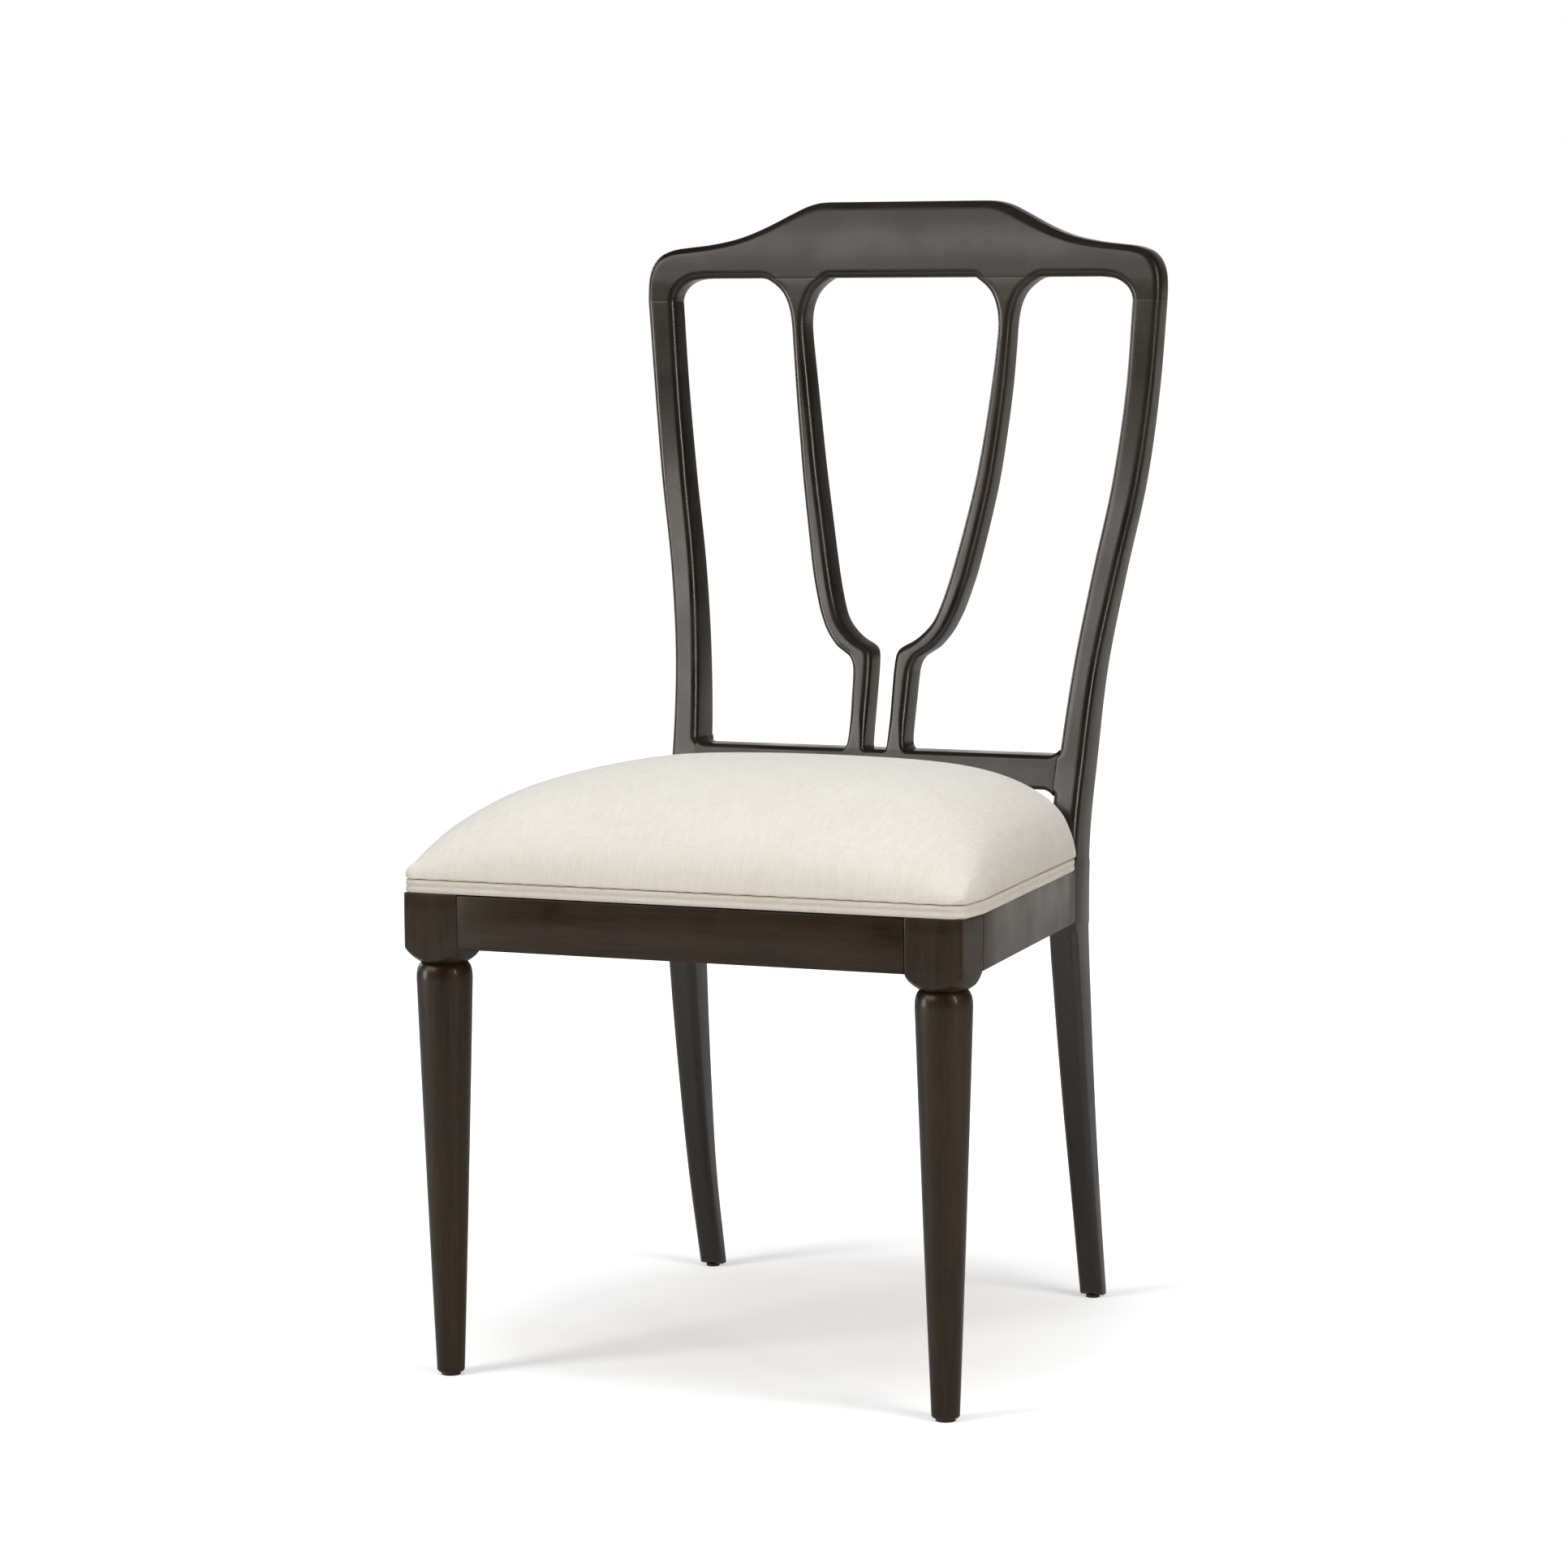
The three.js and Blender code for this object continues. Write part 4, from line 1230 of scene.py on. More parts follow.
    def scatter(self, board: Board, near: Array, joints: Array, rounded: Insets) -> Array:
        """Lays out the points of a piece's faces, closer together near its edges.

        Args:
            board: the piece as drawn.
            near: the open edges round it.
            joints: its edges in joints.
            rounded: lines of points inside the open edges, each with its distance from them.

        Returns:
            The points of its outline, then those inside it.
        """
        ring, turn = outline(board.runs)
        low, high = self.reach_of(ring)
        cloud = [ring]
        for reach, line in rounded:
            line = line[((line > low) & (line < high)).all(1)]
            cloud.append(kept(line, ring, (near, self.own_edge * reach), (joints, self.clear)))
        for run in board.runs:
            if not run.open:
                cloud += [kept(run.inset(reach, turn), ring, (near, self.clear)) for reach in self.joint_rings]
        grid = staggered_grid(low, high, self.mesh_step, self.mesh_step)
        cloud.append(kept(grid, ring, (near, self.rings[-1] + self.grid_gap), (joints, self.mesh_step / 2)))
        return np.concatenate(cloud)

    def plate(self, board: Board, edges: Array, rounded: Insets) -> Object:
        """Makes one piece.

        Args:
            board: the piece as drawn.
            edges: the open edges of the whole back, which are rounded over.
            rounded: lines of points inside those edges, each with its distance from them.

        Returns:
            The piece.
        """
        ring, _ = outline(board.runs)
        low, high = self.reach_of(ring)
        near = edges[((edges.max(1) > low) & (edges.min(1) < high)).all(1)]
        joints = np.concatenate([run.segments for run in board.runs if not run.open])
        flat, faces = triangulate(self.scatter(board, near, joints, rounded), len(ring))
        x, z = flat.T
        reach, radius = distance_to(flat, near), board.radius(z)
        start, full = self.groove_start
        groove = self.groove * np.maximum(0, 1 - distance_to(flat, joints) / self.groove_reach) ** 2
        groove *= np.clip((reach - start) / (full - start), 0, 1)
        front = LINES.back_front(x, z)
        back = front + board.depth(z) - rounding(np.minimum(radius, self.back_round), reach) - groove
        front = front + rounding(radius, reach) + groove
        points = np.concatenate([np.column_stack([x, y, z]) for y in (front, back)])
        count = len(flat)
        behind = [[i + count for i in reversed(face)] for face in faces]
        sides = dict.fromkeys((a, b) for face in faces for a, b in zip(face, [*face[1:], face[0]]))
        walls = [[b, a, a + count, b + count] for a, b in sides if (b, a) not in sides]
        return make_piece(board.name, points, [*faces, *behind, *walls])

    def build(self) -> list[Object]:
        """Makes and dresses the six pieces.

        Returns:
            The pieces.
        """
        across, upright = self.cross_boards(), self.upright_boards()
        opened = [(run, outline(b.runs)[1]) for b in (*across, *upright) for run in b.runs if run.open]
        edges = np.concatenate([run.segments for run, _ in opened])
        rounded = [(reach, run.inset(reach, turn)) for run, turn in opened for reach in self.rings]
        wood, made = self.finishes.ebony, []
        for board in (*upright, *across):
            made.append(fit(self.plate(board, edges, rounded), Slot.DARK_WOOD, wood[board.grain], board.node))
        return made


# ---------------------------------------------------------------------------
# Front legs and rails


@dataclass
class FrontLegs:
    """Two front legs: a square block, its foot turned to a ball, a neck, a rounded shoulder and a taper."""

    finishes: Finishes
    axis: float = 219.0
    width: float = 49.0
    depth: float = 48.0
    arris: float = 1.4
    neck_height: float = 345.5
    neck_radius: float = 18.5
    ball_radius: float = 40.0
    shoulder_radius: float = 23.1
    shoulder_drop: float = 14.0
    foot_radius: float = 11.5
    swell: float = 0.35
    foot_round: float = 2.5
    marks: tuple[float, ...] = (
        0, 6, 12, 18, 24, 30, 34, 37, 39, 40.5, 42, 43.5, 45, 46.5, 48, 49.5, 51, 53, 56, 60, 66, 72, 78, 84,
    )
    block_shares: tuple[float, ...] = (0.25, 0.5, 0.75)
    ball_shares: tuple[float, ...] = (0.975, 0.93, 0.86, 0.76, 0.64, 0.5, 0.36, 0.22, 0.1, 0.03, 0)
    shoulder_steps: int = 12
    taper_steps: int = 24
    foot_steps: int = 4

    def block_reach(self, angle: float) -> float:
        """How far the block's face lies from its axis.

        Args:
            angle: the direction, in radians.

        Returns:
            The distance, which is less at the eased corners.
        """
        dx, dy = abs(math.cos(angle)), abs(math.sin(angle))
        a, b = self.width / 2, self.depth / 2
        flat = min(a / max(dx, 1e-9), b / max(dy, 1e-9))
        cx, cy = a - self.arris, b - self.arris
        if flat * dx < cx or flat * dy < cy:
            return flat
        along = dx * cx + dy * cy
        return along + math.sqrt(max(0, along**2 - cx**2 - cy**2 + self.arris**2))

    def ball_height(self, reach: Array) -> Array:
        """Height of the ball that the block's foot is turned to, at a distance from its axis."""
        rise = np.sqrt(self.ball_radius**2 - self.neck_radius**2) - np.sqrt(self.ball_radius**2 - reach**2)
        return self.neck_height + rise

    def turned_rings(self) -> list[tuple[float, float]]:
        """Heights and radii from the neck down to the floor.

        Returns:
            A height and a radius for each ring.
        """
        rings = []
        for i in range(1, self.shoulder_steps + 1):
            share = 1 - math.cos(math.pi / 2 * i / self.shoulder_steps)
            swell = (self.shoulder_radius - self.neck_radius) * (1 - (1 - share) ** 2.6) ** 0.62
            rings.append((self.neck_height - self.shoulder_drop * share, self.neck_radius + swell))
        top, foot = self.neck_height - self.shoulder_drop, LINES.glide_height + self.foot_round
        for i in range(1, self.taper_steps + 1):
            t = i / self.taper_steps
            taper = self.shoulder_radius + (self.foot_radius - self.shoulder_radius) * t
            rings.append((top + (foot - top) * t, taper + self.swell * 4 * t * (1 - t)))
        for i in range(1, self.foot_steps + 1):
            turn = math.pi / 2 * i / self.foot_steps
            radius = self.foot_radius - self.foot_round * (1 - math.cos(turn))
            rings.append((foot - self.foot_round * math.sin(turn), radius))
        return rings

    def leg(self, hand: Hand) -> Object:
        """Makes one leg.

        Args:
            hand: which side it stands on.

        Returns:
            The leg.
        """
        angles = [math.radians(90 * quarter + mark) for quarter in range(4) for mark in self.marks]
        reaches = np.array([self.block_reach(a) for a in angles])
        across = np.column_stack([np.cos(angles), np.sin(angles)])
        shift, sides = np.array([self.axis, 0]), np.array([hand.value, 1])

        def ring(reach: Array, height: Array | float) -> Array:
            """Ring round the leg's axis."""
            return at_height((across * reach[:, None] + shift) * sides, height)

        level, crease = LINES.rail_plane(across[:, 1] * reaches), self.ball_height(reaches)
        rings = [ring(reaches - 1.0, level), ring(reaches - 0.3, level - 0.3), ring(reaches, level - 1.0)]
        rings += [ring(reaches, level + (crease - level) * share) for share in self.block_shares]
        rings += [ring(reaches, crease + 0.9), ring(reaches - 0.16, crease + 0.22)]
        for share in self.ball_shares:
            own = self.neck_radius + (reaches - self.neck_radius) * share
            rings.append(ring(own, self.ball_height(own)))
        rings += [ring(np.full(len(reaches), radius), height) for height, radius in self.turned_rings()]
        return make_piece(f"turned_leg_{hand.word}", *skin_rings(rings), sharp=42)

    def build(self) -> list[Object]:
        """Makes and dresses both legs."""
        wood = self.finishes.espresso[Grain.UPRIGHT]
        return [fit(self.leg(hand), Slot.DARK_WOOD, wood, f"front_leg_{hand.word}") for hand in Hand]


@dataclass
class SeatRails:
    """Four straight seat rails with eased edges, which meet the leg blocks and the posts squarely."""

    finishes: Finishes
    gap: float = 0.04
    ease: float = 0.9
    post_gap: float = 0.7
    post_bite: float = 0.5
    end_step: float = 0.15
    end_inset: float = 0.06

    def bar(self, name: str, start: float, end: float, ring: Callable[[float, float], Array]) -> Object:
        """Makes a straight rail.

        Args:
            name: the rail's name.
            start: where it starts.
            end: where it ends.
            ring: gives the rail's outline at a place, drawn in by a little.

        Returns:
            The rail.
        """
        inner = [start + self.end_step, *np.linspace(start, end, 9)[1:-1], end - self.end_step]
        rings = [ring(start, self.end_inset), *[ring(place, 0.0) for place in inner], ring(end, self.end_inset)]
        return make_piece(name, *skin_rings(rings))

    def cross_ring(self, face: float, foot: float, x: float, inset: float) -> Array:
        """Outline of the front or the rear rail.

        Args:
            face: depth of its front face.
            foot: height of its underside.
            x: the place along it.
            inset: how far the outline is drawn in.

        Returns:
            The outline's points.
        """
        back = face + LINES.rail_thickness
        high = back - inset, float(LINES.rail_plane(back)) - inset
        plan = eased_section((face + inset, foot + inset), high, self.ease)
        return np.column_stack([np.full(len(plan), x), plan])

    def side_ring(self, hand: Hand, y: float, inset: float) -> Array:
        """Outline of a side rail.

        Args:
            hand: which side it is on.
            y: the place along it.
            inset: how far the outline is drawn in.

        Returns:
            The outline's points.
        """
        top = float(LINES.rail_plane(y))
        low = float(LINES.rail_in(y)) + inset, top - LINES.rail_height + inset
        plan = eased_section(low, (float(LINES.rail_out(y)) - inset, top - inset), self.ease)
        return np.column_stack([plan[:, 0] * hand.value, np.full(len(plan), y), plan[:, 1]])

    def build(self) -> list[Object]:
        """Makes and dresses the rails.

        Returns:
            The four rails.
        """
        wood, made = self.finishes.espresso, []
        rear_foot = float(LINES.rail_plane(LINES.rear_rail_front + LINES.rail_thickness)) - LINES.rail_height
        spans = (
            ("front", LINES.block_inner - self.gap, LINES.frame_front, LINES.rail_top - LINES.rail_height),
            ("rear", float(LINES.post_in(LINES.rail_top)) - self.post_gap, LINES.rear_rail_front, rear_foot),
        )
        for part, reach, face, foot in spans:
            rail = self.bar(f"{part}_rail", -reach, reach, partial(self.cross_ring, face, foot))
            made.append(fit(rail, Slot.DARK_WOOD, wood[Grain.ACROSS], f"seat_rail_{part}"))
        ends = LINES.leg_back + self.gap, LINES.leg_to_post + self.post_bite
        for hand in Hand:
            rail = self.bar(f"side_rail_{hand.word}", *ends, partial(self.side_ring, hand))
            made.append(fit(rail, Slot.DARK_WOOD, wood[Grain.DEEP], f"seat_rail_{hand.word}"))
        return made


# ---------------------------------------------------------------------------
# The seat


@dataclass
class Seat:
    """Upholstered seat on its board: a crowned cushion, a double welt round it and a dust cloth under it."""

    finishes: Finishes
    seam: float = 11.3
    crown_height: float = 91.2
    crown_peak: float = 222.3
    front: float = -25.5
    back: float = 422.0
    overhang: float = 1.5
    corner: float = 11.0
    notch_front: float = 381.6
    notch_side: float = 167.1
    tuck: float = 10.7
    cord_radius: float = 2.75
    board_top: float = 13.0
    slack: float = 2.5
    swell_cap: float = 7.0
    frames: int = 20
    smoothings: int = 8
    edge_step: float = 4.0
    grid_width: float = 245.0
    grid_step: tuple[float, float] = (7.0, 6.2)
    grid_gap: float = 3.0
    own_edge: float = 0.97
    edge_rings: tuple[float, ...] = (0.12, 0.5, 1.2, 2.3, 3.9, 6.2, 9.2)
    sewn_over: float = 1.95
    pucker: float = 0.24
    pucker_length: float = 17.0
    ridge: float = 2.9
    ridge_width: float = 4.0
    ridge_inset: float = 5.0
    side_slack: float = 1.2
    notch_slack: float = 0.8
    stitch: float = 0.16
    stitch_length: float = 9.5
    dust_gap: float = 4.0
    dust_cut: float = 72.0

    def tilted(self, points: Array) -> Array:
        """Sets points over the level seat down on the sloping rails.

        Args:
            points: the points.

        Returns:
            Where they lie on the chair.
        """
        y, z = points[:, 1] - LINES.frame_front, points[:, 2]
        cos, sin = math.cos(LINES.seat_slope), math.sin(LINES.seat_slope)
        depth = y * cos + z * sin + LINES.frame_front
        return np.column_stack([points[:, 0], depth, z * cos - y * sin + LINES.rail_top])

    @staticmethod
    def over_rails(points: Array) -> tuple[Array, Array]:
        """Depth and height over the sloping rails, in millimetres, of points in metres."""
        y = points[:, 1] / MM - LINES.axis_back
        return y, (points[:, 2] / MM - LINES.rail_plane(y)) * math.cos(LINES.seat_slope)

    def side_at(self, y: Array, inset: float = 0) -> Array:
        """How far the seat's side stands from the middle."""
        taper = LINES.side_taper * np.maximum(0, np.asarray(y, float) - LINES.leg_back)
        return LINES.block_outer + self.overhang - inset - taper

    def half_plan(self, inset: float, step: float) -> Array:
        """Half of the seat's edge, from the middle of its front round the corner to the post.

        Args:
            inset: how far it is drawn in.
            step: distance between points.

        Returns:
            Its points.
        """
        front, notch = self.front + inset, self.notch_front - inset
        corner = max(self.corner - inset, self.corner / 3)
        x = float(self.side_at(front, inset)) - corner
        line = [(s, front) for s in np.linspace(0, x, int(LINES.block_outer / step))]
        for t in np.linspace(0, math.pi / 2, 10)[1:]:
            line.append((x + corner * math.sin(t), front + corner - corner * math.cos(t)))
        for y in np.linspace(front + corner, notch, int(self.notch_front / step))[1:]:
            line.append((float(self.side_at(y, inset)), y))
        return np.array(line)

    def plan(self, inset: float, step: float) -> Array:
        """The seat's whole edge, with notches for the posts.

        Args:
            inset: how far it is drawn in.
            step: distance between points.

        Returns:
            Its points, in order round the seat.
        """
        half = self.half_plan(inset, step)
        side, back = self.notch_side - inset, self.back - inset
        outer, notch = half[-1]
        more = [((1 - t) * outer + t * side, notch) for t in np.linspace(0, 1, 6)[1:]]
        more += [(side, notch + (back - notch) * t) for t in np.linspace(0, 1, 8)[1:]]
        more += [(side * (1 - t), back) for t in np.linspace(0, 1, int(self.notch_side / step))[1:]]
        right = np.concatenate([half, np.array(more)])
        return np.concatenate([right, other_side(right[1:-1])])

    def crown(self, x: Array, y: Array) -> Array:
        """Height of the stuffed crown over its seam.

        Args:
            x: places across.
            y: places back.

        Returns:
            The heights.
        """
        half = LINES.rail_out(np.maximum(y, LINES.leg_back)) + self.overhang
        across = bell(np.abs(x) / half, 3.82, 0.382)
        ahead = bell((self.crown_peak - y) / (self.crown_peak - self.front), 3.3, 0.61)
        behind = bell((y - self.crown_peak) / (self.back - self.crown_peak), 2.07, 0.243)
        to_notch = np.hypot(np.maximum(0, self.notch_side - np.abs(x)), np.maximum(0, self.notch_front - y))
        held = bell(1 - np.minimum(1, to_notch / self.tuck), 2.2, 0.34)
        return self.crown_height * across * np.where(y < self.crown_peak, ahead, behind) * held

    def dome(self) -> tuple[Array, Faces]:
        """The cover as it is sewn, before its filling swells: the crown and a level base.

        Returns:
            Points in the level seat's frame, and faces.
        """
        edge = self.plan(0, self.edge_step)
        count, after = len(edge), np.roll(edge, -1, axis=0)
        sides = np.stack([edge, after], axis=1)
        inward = left_of(after - np.roll(edge, 1, axis=0))
        rings = [kept(edge + inward * reach, edge, (sides, self.own_edge * reach)) for reach in self.edge_rings]
        grid = staggered_grid((-self.grid_width, self.front), (self.grid_width + 1, self.back), *self.grid_step)
        inner = kept(grid, edge, (sides, self.edge_rings[-1] + self.grid_gap))
        flat, top = triangulate(np.concatenate([edge, *rings, inner]), count)
        height = self.seam + self.crown(*flat.T) * (1 - self.slack / self.crown_height)
        rim = [int(np.argmin(((flat - p) ** 2).sum(1))) for p in edge]
        height[rim] = self.seam
        hem, base = self.plan(5.6, self.edge_step), self.plan(7.6, self.edge_step)
        under = [at_height(hem, self.seam), at_height(base, self.board_top + 0.2)]
        points = np.concatenate([at_height(flat, height), *under])
        faces = [list(face) for face in top]
        loops = [rim, *[[len(flat) + k * count + i for i in range(count)] for k in range(len(under))]]
        for above, below in zip(loops, loops[1:]):
            for a in range(count):
                b = (a + 1) % count
                faces.append([above[b], above[a], below[a], below[b]])
        faces += [[loops[-1][i] for i in reversed(face)] for face in triangulate(base, count)[1]]
        return points, faces

    def inflate(self, cushion: Object, sewn: Array) -> Array:
        """Runs the cloth simulation that fills the cushion.

        Args:
            cushion: the slack cushion.
            sewn: numbers of the corners that stay where they are.

        Returns:
            Where the filling takes each corner, in metres.
        """
        held = cushion.vertex_groups.new(name="sewn")
        held.add(sewn.tolist(), 1.0, "REPLACE")
        cloth = cushion.modifiers.new("filling", "CLOTH")
        settings = {
            "quality": 6,
            "mass": 0.3,
            "tension_stiffness": 12,
            "compression_stiffness": 12,
            "bending_stiffness": 0.6,
            "vertex_group_mass": held.name,
            "use_pressure": True,
            "uniform_pressure_force": 4,
        }
        for key, value in settings.items():
            setattr(cloth.settings, key, value)
        cloth.settings.effector_weights.gravity = 0
        cloth.collision_settings.use_collision = False
        scene = bpy.context.scene
        for number in range(1, self.frames + 1):
            scene.frame_set(number)
        grown = read_vectors(cushion.evaluated_get(bpy.context.evaluated_depsgraph_get()).data)
        cushion.modifiers.remove(cloth)
        cushion.vertex_groups.clear()
        scene.frame_set(1)
        return grown

    def swell(self, cushion: Object) -> None:
        """Fills the slack cushion by a cloth simulation under pressure, evened out and held back where it goes far.

        Args:
            cushion: the closed form to fill; its mesh is replaced by the filled one.
        """
        mesh = cushion.data
        rest = read_vectors(mesh)
        sewn = np.flatnonzero(self.over_rails(rest)[1] < self.seam + self.sewn_over)
        move = self.inflate(cushion, sewn) - rest
        far = np.linalg.norm(move, axis=1, keepdims=True)
        cap = self.swell_cap * MM
        log.info("filling moves the cover %.2f mm on average, %.2f mm at most", far.mean() / MM, far.max() / MM)
        joined = np.empty(len(mesh.edges) * 2, int)
        mesh.edges.foreach_get("vertices", joined)
        a, b = joined[0::2], joined[1::2]
        shared = np.bincount(joined, minlength=len(rest))[:, None]
        loose = np.ones((len(rest), 1), bool)
        loose[sewn] = False
        for _ in range(self.smoothings):
            total = np.zeros_like(move)
            np.add.at(total, a, move[b])
            np.add.at(total, b, move[a])
            move = np.where(loose, 0.4 * move + 0.6 * total / shared, move)
            move *= np.where(far > cap, cap / np.maximum(far, 1e-9), 1)
        move_corners(mesh, rest + move)

    def settle(self, cushion: Object) -> None:
        """Fits the filled cushion to its form: snug at the seam, puckered by stitches, ridged at each front corner.

        Args:
            cushion: the filled cushion.
        """
        mesh = cushion.data
        points, normals = read_vectors(mesh), read_vectors(mesh, "normal")
        x = points[:, 0] / MM
        y, level = self.over_rails(points)
        along = np.where(y < self.front + 30, x, y)
        pucker = self.pucker * np.sin(along * 2 * math.pi / self.pucker_length + 1.3 * np.sin(along / 23))
        pucker *= blend(34, 12, level) * blend(9, 12, level)
        wander = 0.6 * np.sin(x / 61 + 0.7) * np.sin(y / 53 + 0.4) + 0.3 * np.sin(x / 29 + y / 37)
        wander *= blend(16, 50, level)
        to_corner = np.hypot(np.abs(x) - self.side_at(y) + self.ridge_inset, y - self.front - self.ridge_inset)
        ridge = self.ridge * np.exp(-(to_corner**2) / 2 / self.ridge_width**2)
        ridge *= blend(12, 22, level) * blend(75, 45, level)
        lack = np.clip(self.seam + self.crown(x, y) - level, -7, 7) * blend(0.25, 0.6, normals[:, 2])
        points[:, 2] += 0.85 * lack * MM
        points += normals * ((pucker + wander + ridge) * MM)[:, None]
        self.hold(points)
        move_corners(mesh, points)

    def hold(self, points: Array) -> None:
        """Keeps the cushion between its sides and out of the notches for the posts.

        Args:
            points: the cushion's corners in metres, which are moved.
        """
        y = self.over_rails(points)[0]
        limit = (self.side_at(y) + self.side_slack) * MM
        points[:, 0] = np.clip(points[:, 0], -limit, limit)
        past_side = np.abs(points[:, 0]) / MM - self.notch_side - self.notch_slack
        past_front = y - self.notch_front - self.notch_slack
        caught = (past_side > 0) & (past_front > 0)
        sideways = caught & (past_side < past_front)
        points[:, 0] -= np.where(sideways, np.sign(points[:, 0]) * past_side * MM, 0)
        points[:, 1] -= np.where(caught & ~sideways, past_front * MM, 0)

    def cushion(self) -> Object:
        """Makes the cushion.

        Returns:
            The cushion, its simulation applied.
        """
        points, faces = self.dome()
        made = make_piece("linen_cushion", self.tilted(points), faces)
        self.swell(made)
        finer = made.modifiers.new("finer", "SUBSURF")
        finer.levels = finer.render_levels = 1
        made.data = bpy.data.meshes.new_from_object(made.evaluated_get(bpy.context.evaluated_depsgraph_get()))
        made.modifiers.clear()
        self.settle(made)
        made.data.shade_smooth()
        return made

    def seated(self, name: str, rings: Sequence[Array], capped: bool = True, sharp: float = 50) -> Object:
        """Makes a piece from rings drawn on the level seat.

        Args:
            name: the piece's name.
            rings: closed rings of points, in order.
            capped: whether the first and the last ring are closed.
            sharp: angle in degrees past which an edge stays crisp.

        Returns:
            The piece, set down on the sloping rails.
        """
        points, faces = skin_rings(rings, capped)
        return make_piece(name, self.tilted(points), faces, sharp)

    def edge_band(self) -> Object:
        """Makes the cover's turned-in edge behind the welt, down to the rails.

        Returns:
            The edge, as a closed band.
        """
        outer, inner, foot, top = 6.2, 8.1, 0.4, self.seam + 0.3
        corners = ((outer, top), (outer, foot), (inner, foot), (inner, top), (outer, top))
        rings = [at_height(self.plan(inset, 8), height) for inset, height in corners]
        return self.seated("linen_edge", rings, capped=False)

    def cord_section(self) -> Array:
        """Outline of the double cord: how far it stands out, and its height.

        Returns:
            The outline's points.
        """
        radius, section = self.cord_radius, []
        for centre, start in ((3 * radius, -0.26), (radius, 0.74)):
            for i in range(13):
                angle = math.pi * (start + 1.52 * i / 12)
                across, up = math.cos(angle), math.sin(angle)
                out = 0.98 * radius * math.copysign(abs(across) ** 0.7, across)
                section.append((out, centre + radius * math.copysign(abs(up) ** 0.85, up)))
        section = np.array(section)
        section[:, 1] = np.clip(section[:, 1], 0.12, 4 * radius - 0.1)
        return section

    def welt(self, name: str, line: Array) -> Object:
        """Makes a double cord along a line.

        Args:
            name: the welt's name.
            line: the line in the level seat's plan.

        Returns:
            The welt, cut square at both ends.
        """
        out, up = self.cord_section().T
        rings = []
        for spot, inward, run in zip(line, left_of(np.gradient(line, axis=0)), run_along(line)):
            stitch = self.stitch * math.sin(run * 2 * math.pi / self.stitch_length)
            wander = 0.22 * math.sin(run / 31 + 1.1)
            reach = out * (1 + 0.05 * stitch) + wander * (out > 0)
            rings.append(at_height(spot - inward * reach[:, None], up * (1 + 0.012 * stitch) + 0.15))
        return self.seated(name, rings, sharp=70)

    def dust_cloth(self) -> Object:
        """Makes the dust cloth, stretched under the board with a slight sag and tufts round its edge.

        Returns:
            The cloth.
        """
        front = LINES.frame_front + LINES.rail_thickness + self.dust_gap
        back, cut = LINES.rear_rail_front - self.dust_gap, self.dust_cut
        stops = ((front, cut), (front + cut, 0), (back - cut, 0), (back, cut))
        right = np.array([(float(LINES.rail_in(y)) - self.dust_gap - less, y) for y, less in stops])
        plan = np.concatenate([right, other_side(right)])
        pairs = zip(plan, np.roll(plan, -1, axis=0))
        edge = np.concatenate([a + (b - a) * np.linspace(0, 1, 14)[:-1, None] for a, b in pairs])
        middle = np.array([0, (front + back) / 2])
        upper, lower = [], []
        for share in np.linspace(1, 0.04, 16):
            flat = middle + (edge - middle) * share
            tuft = 0.25 * np.sin(np.arange(len(edge)) * 2 * math.pi / 6.5) * share**6
            sag = -0.9 * (1 - share**2) + tuft * 0.6 - 0.35
            upper.append(at_height(flat, sag))
            lower.append(at_height(flat, sag - 0.6))
        cloth = self.seated("dust_cloth", [*upper[::-1], *lower], sharp=30)
        return cloth

    def build(self) -> list[Object]:
        """Makes and dresses the seat.

        Returns:
            Its pieces.
        """
        linen = self.finishes.linen
        cushion = fit(self.cushion(), Slot.LINEN, linen, "seat_cover", "seat_foam")
        made = [cushion, fit(self.edge_band(), Slot.LINEN, linen)]
        inset = self.cord_radius + 0.3
        half = self.half_plan(inset, 2.4)[:-1]
        front = np.concatenate([other_side(half[1:]), half])
        made.append(fit(self.welt("front_welt", front), Slot.LINEN, linen, "seat_welt_front"))
        reach = self.notch_side - 0.6
        back = np.column_stack([np.linspace(reach, -reach, 150), np.full(150, self.back - inset)])
        made.append(fit(self.welt("back_welt", back), Slot.LINEN, linen, "seat_welt_back"))
        made.append(fit(self.dust_cloth(), Slot.DUST_CLOTH, self.finishes.dust, "dust_cover"))
        return made


# ---------------------------------------------------------------------------
# Hidden joinery


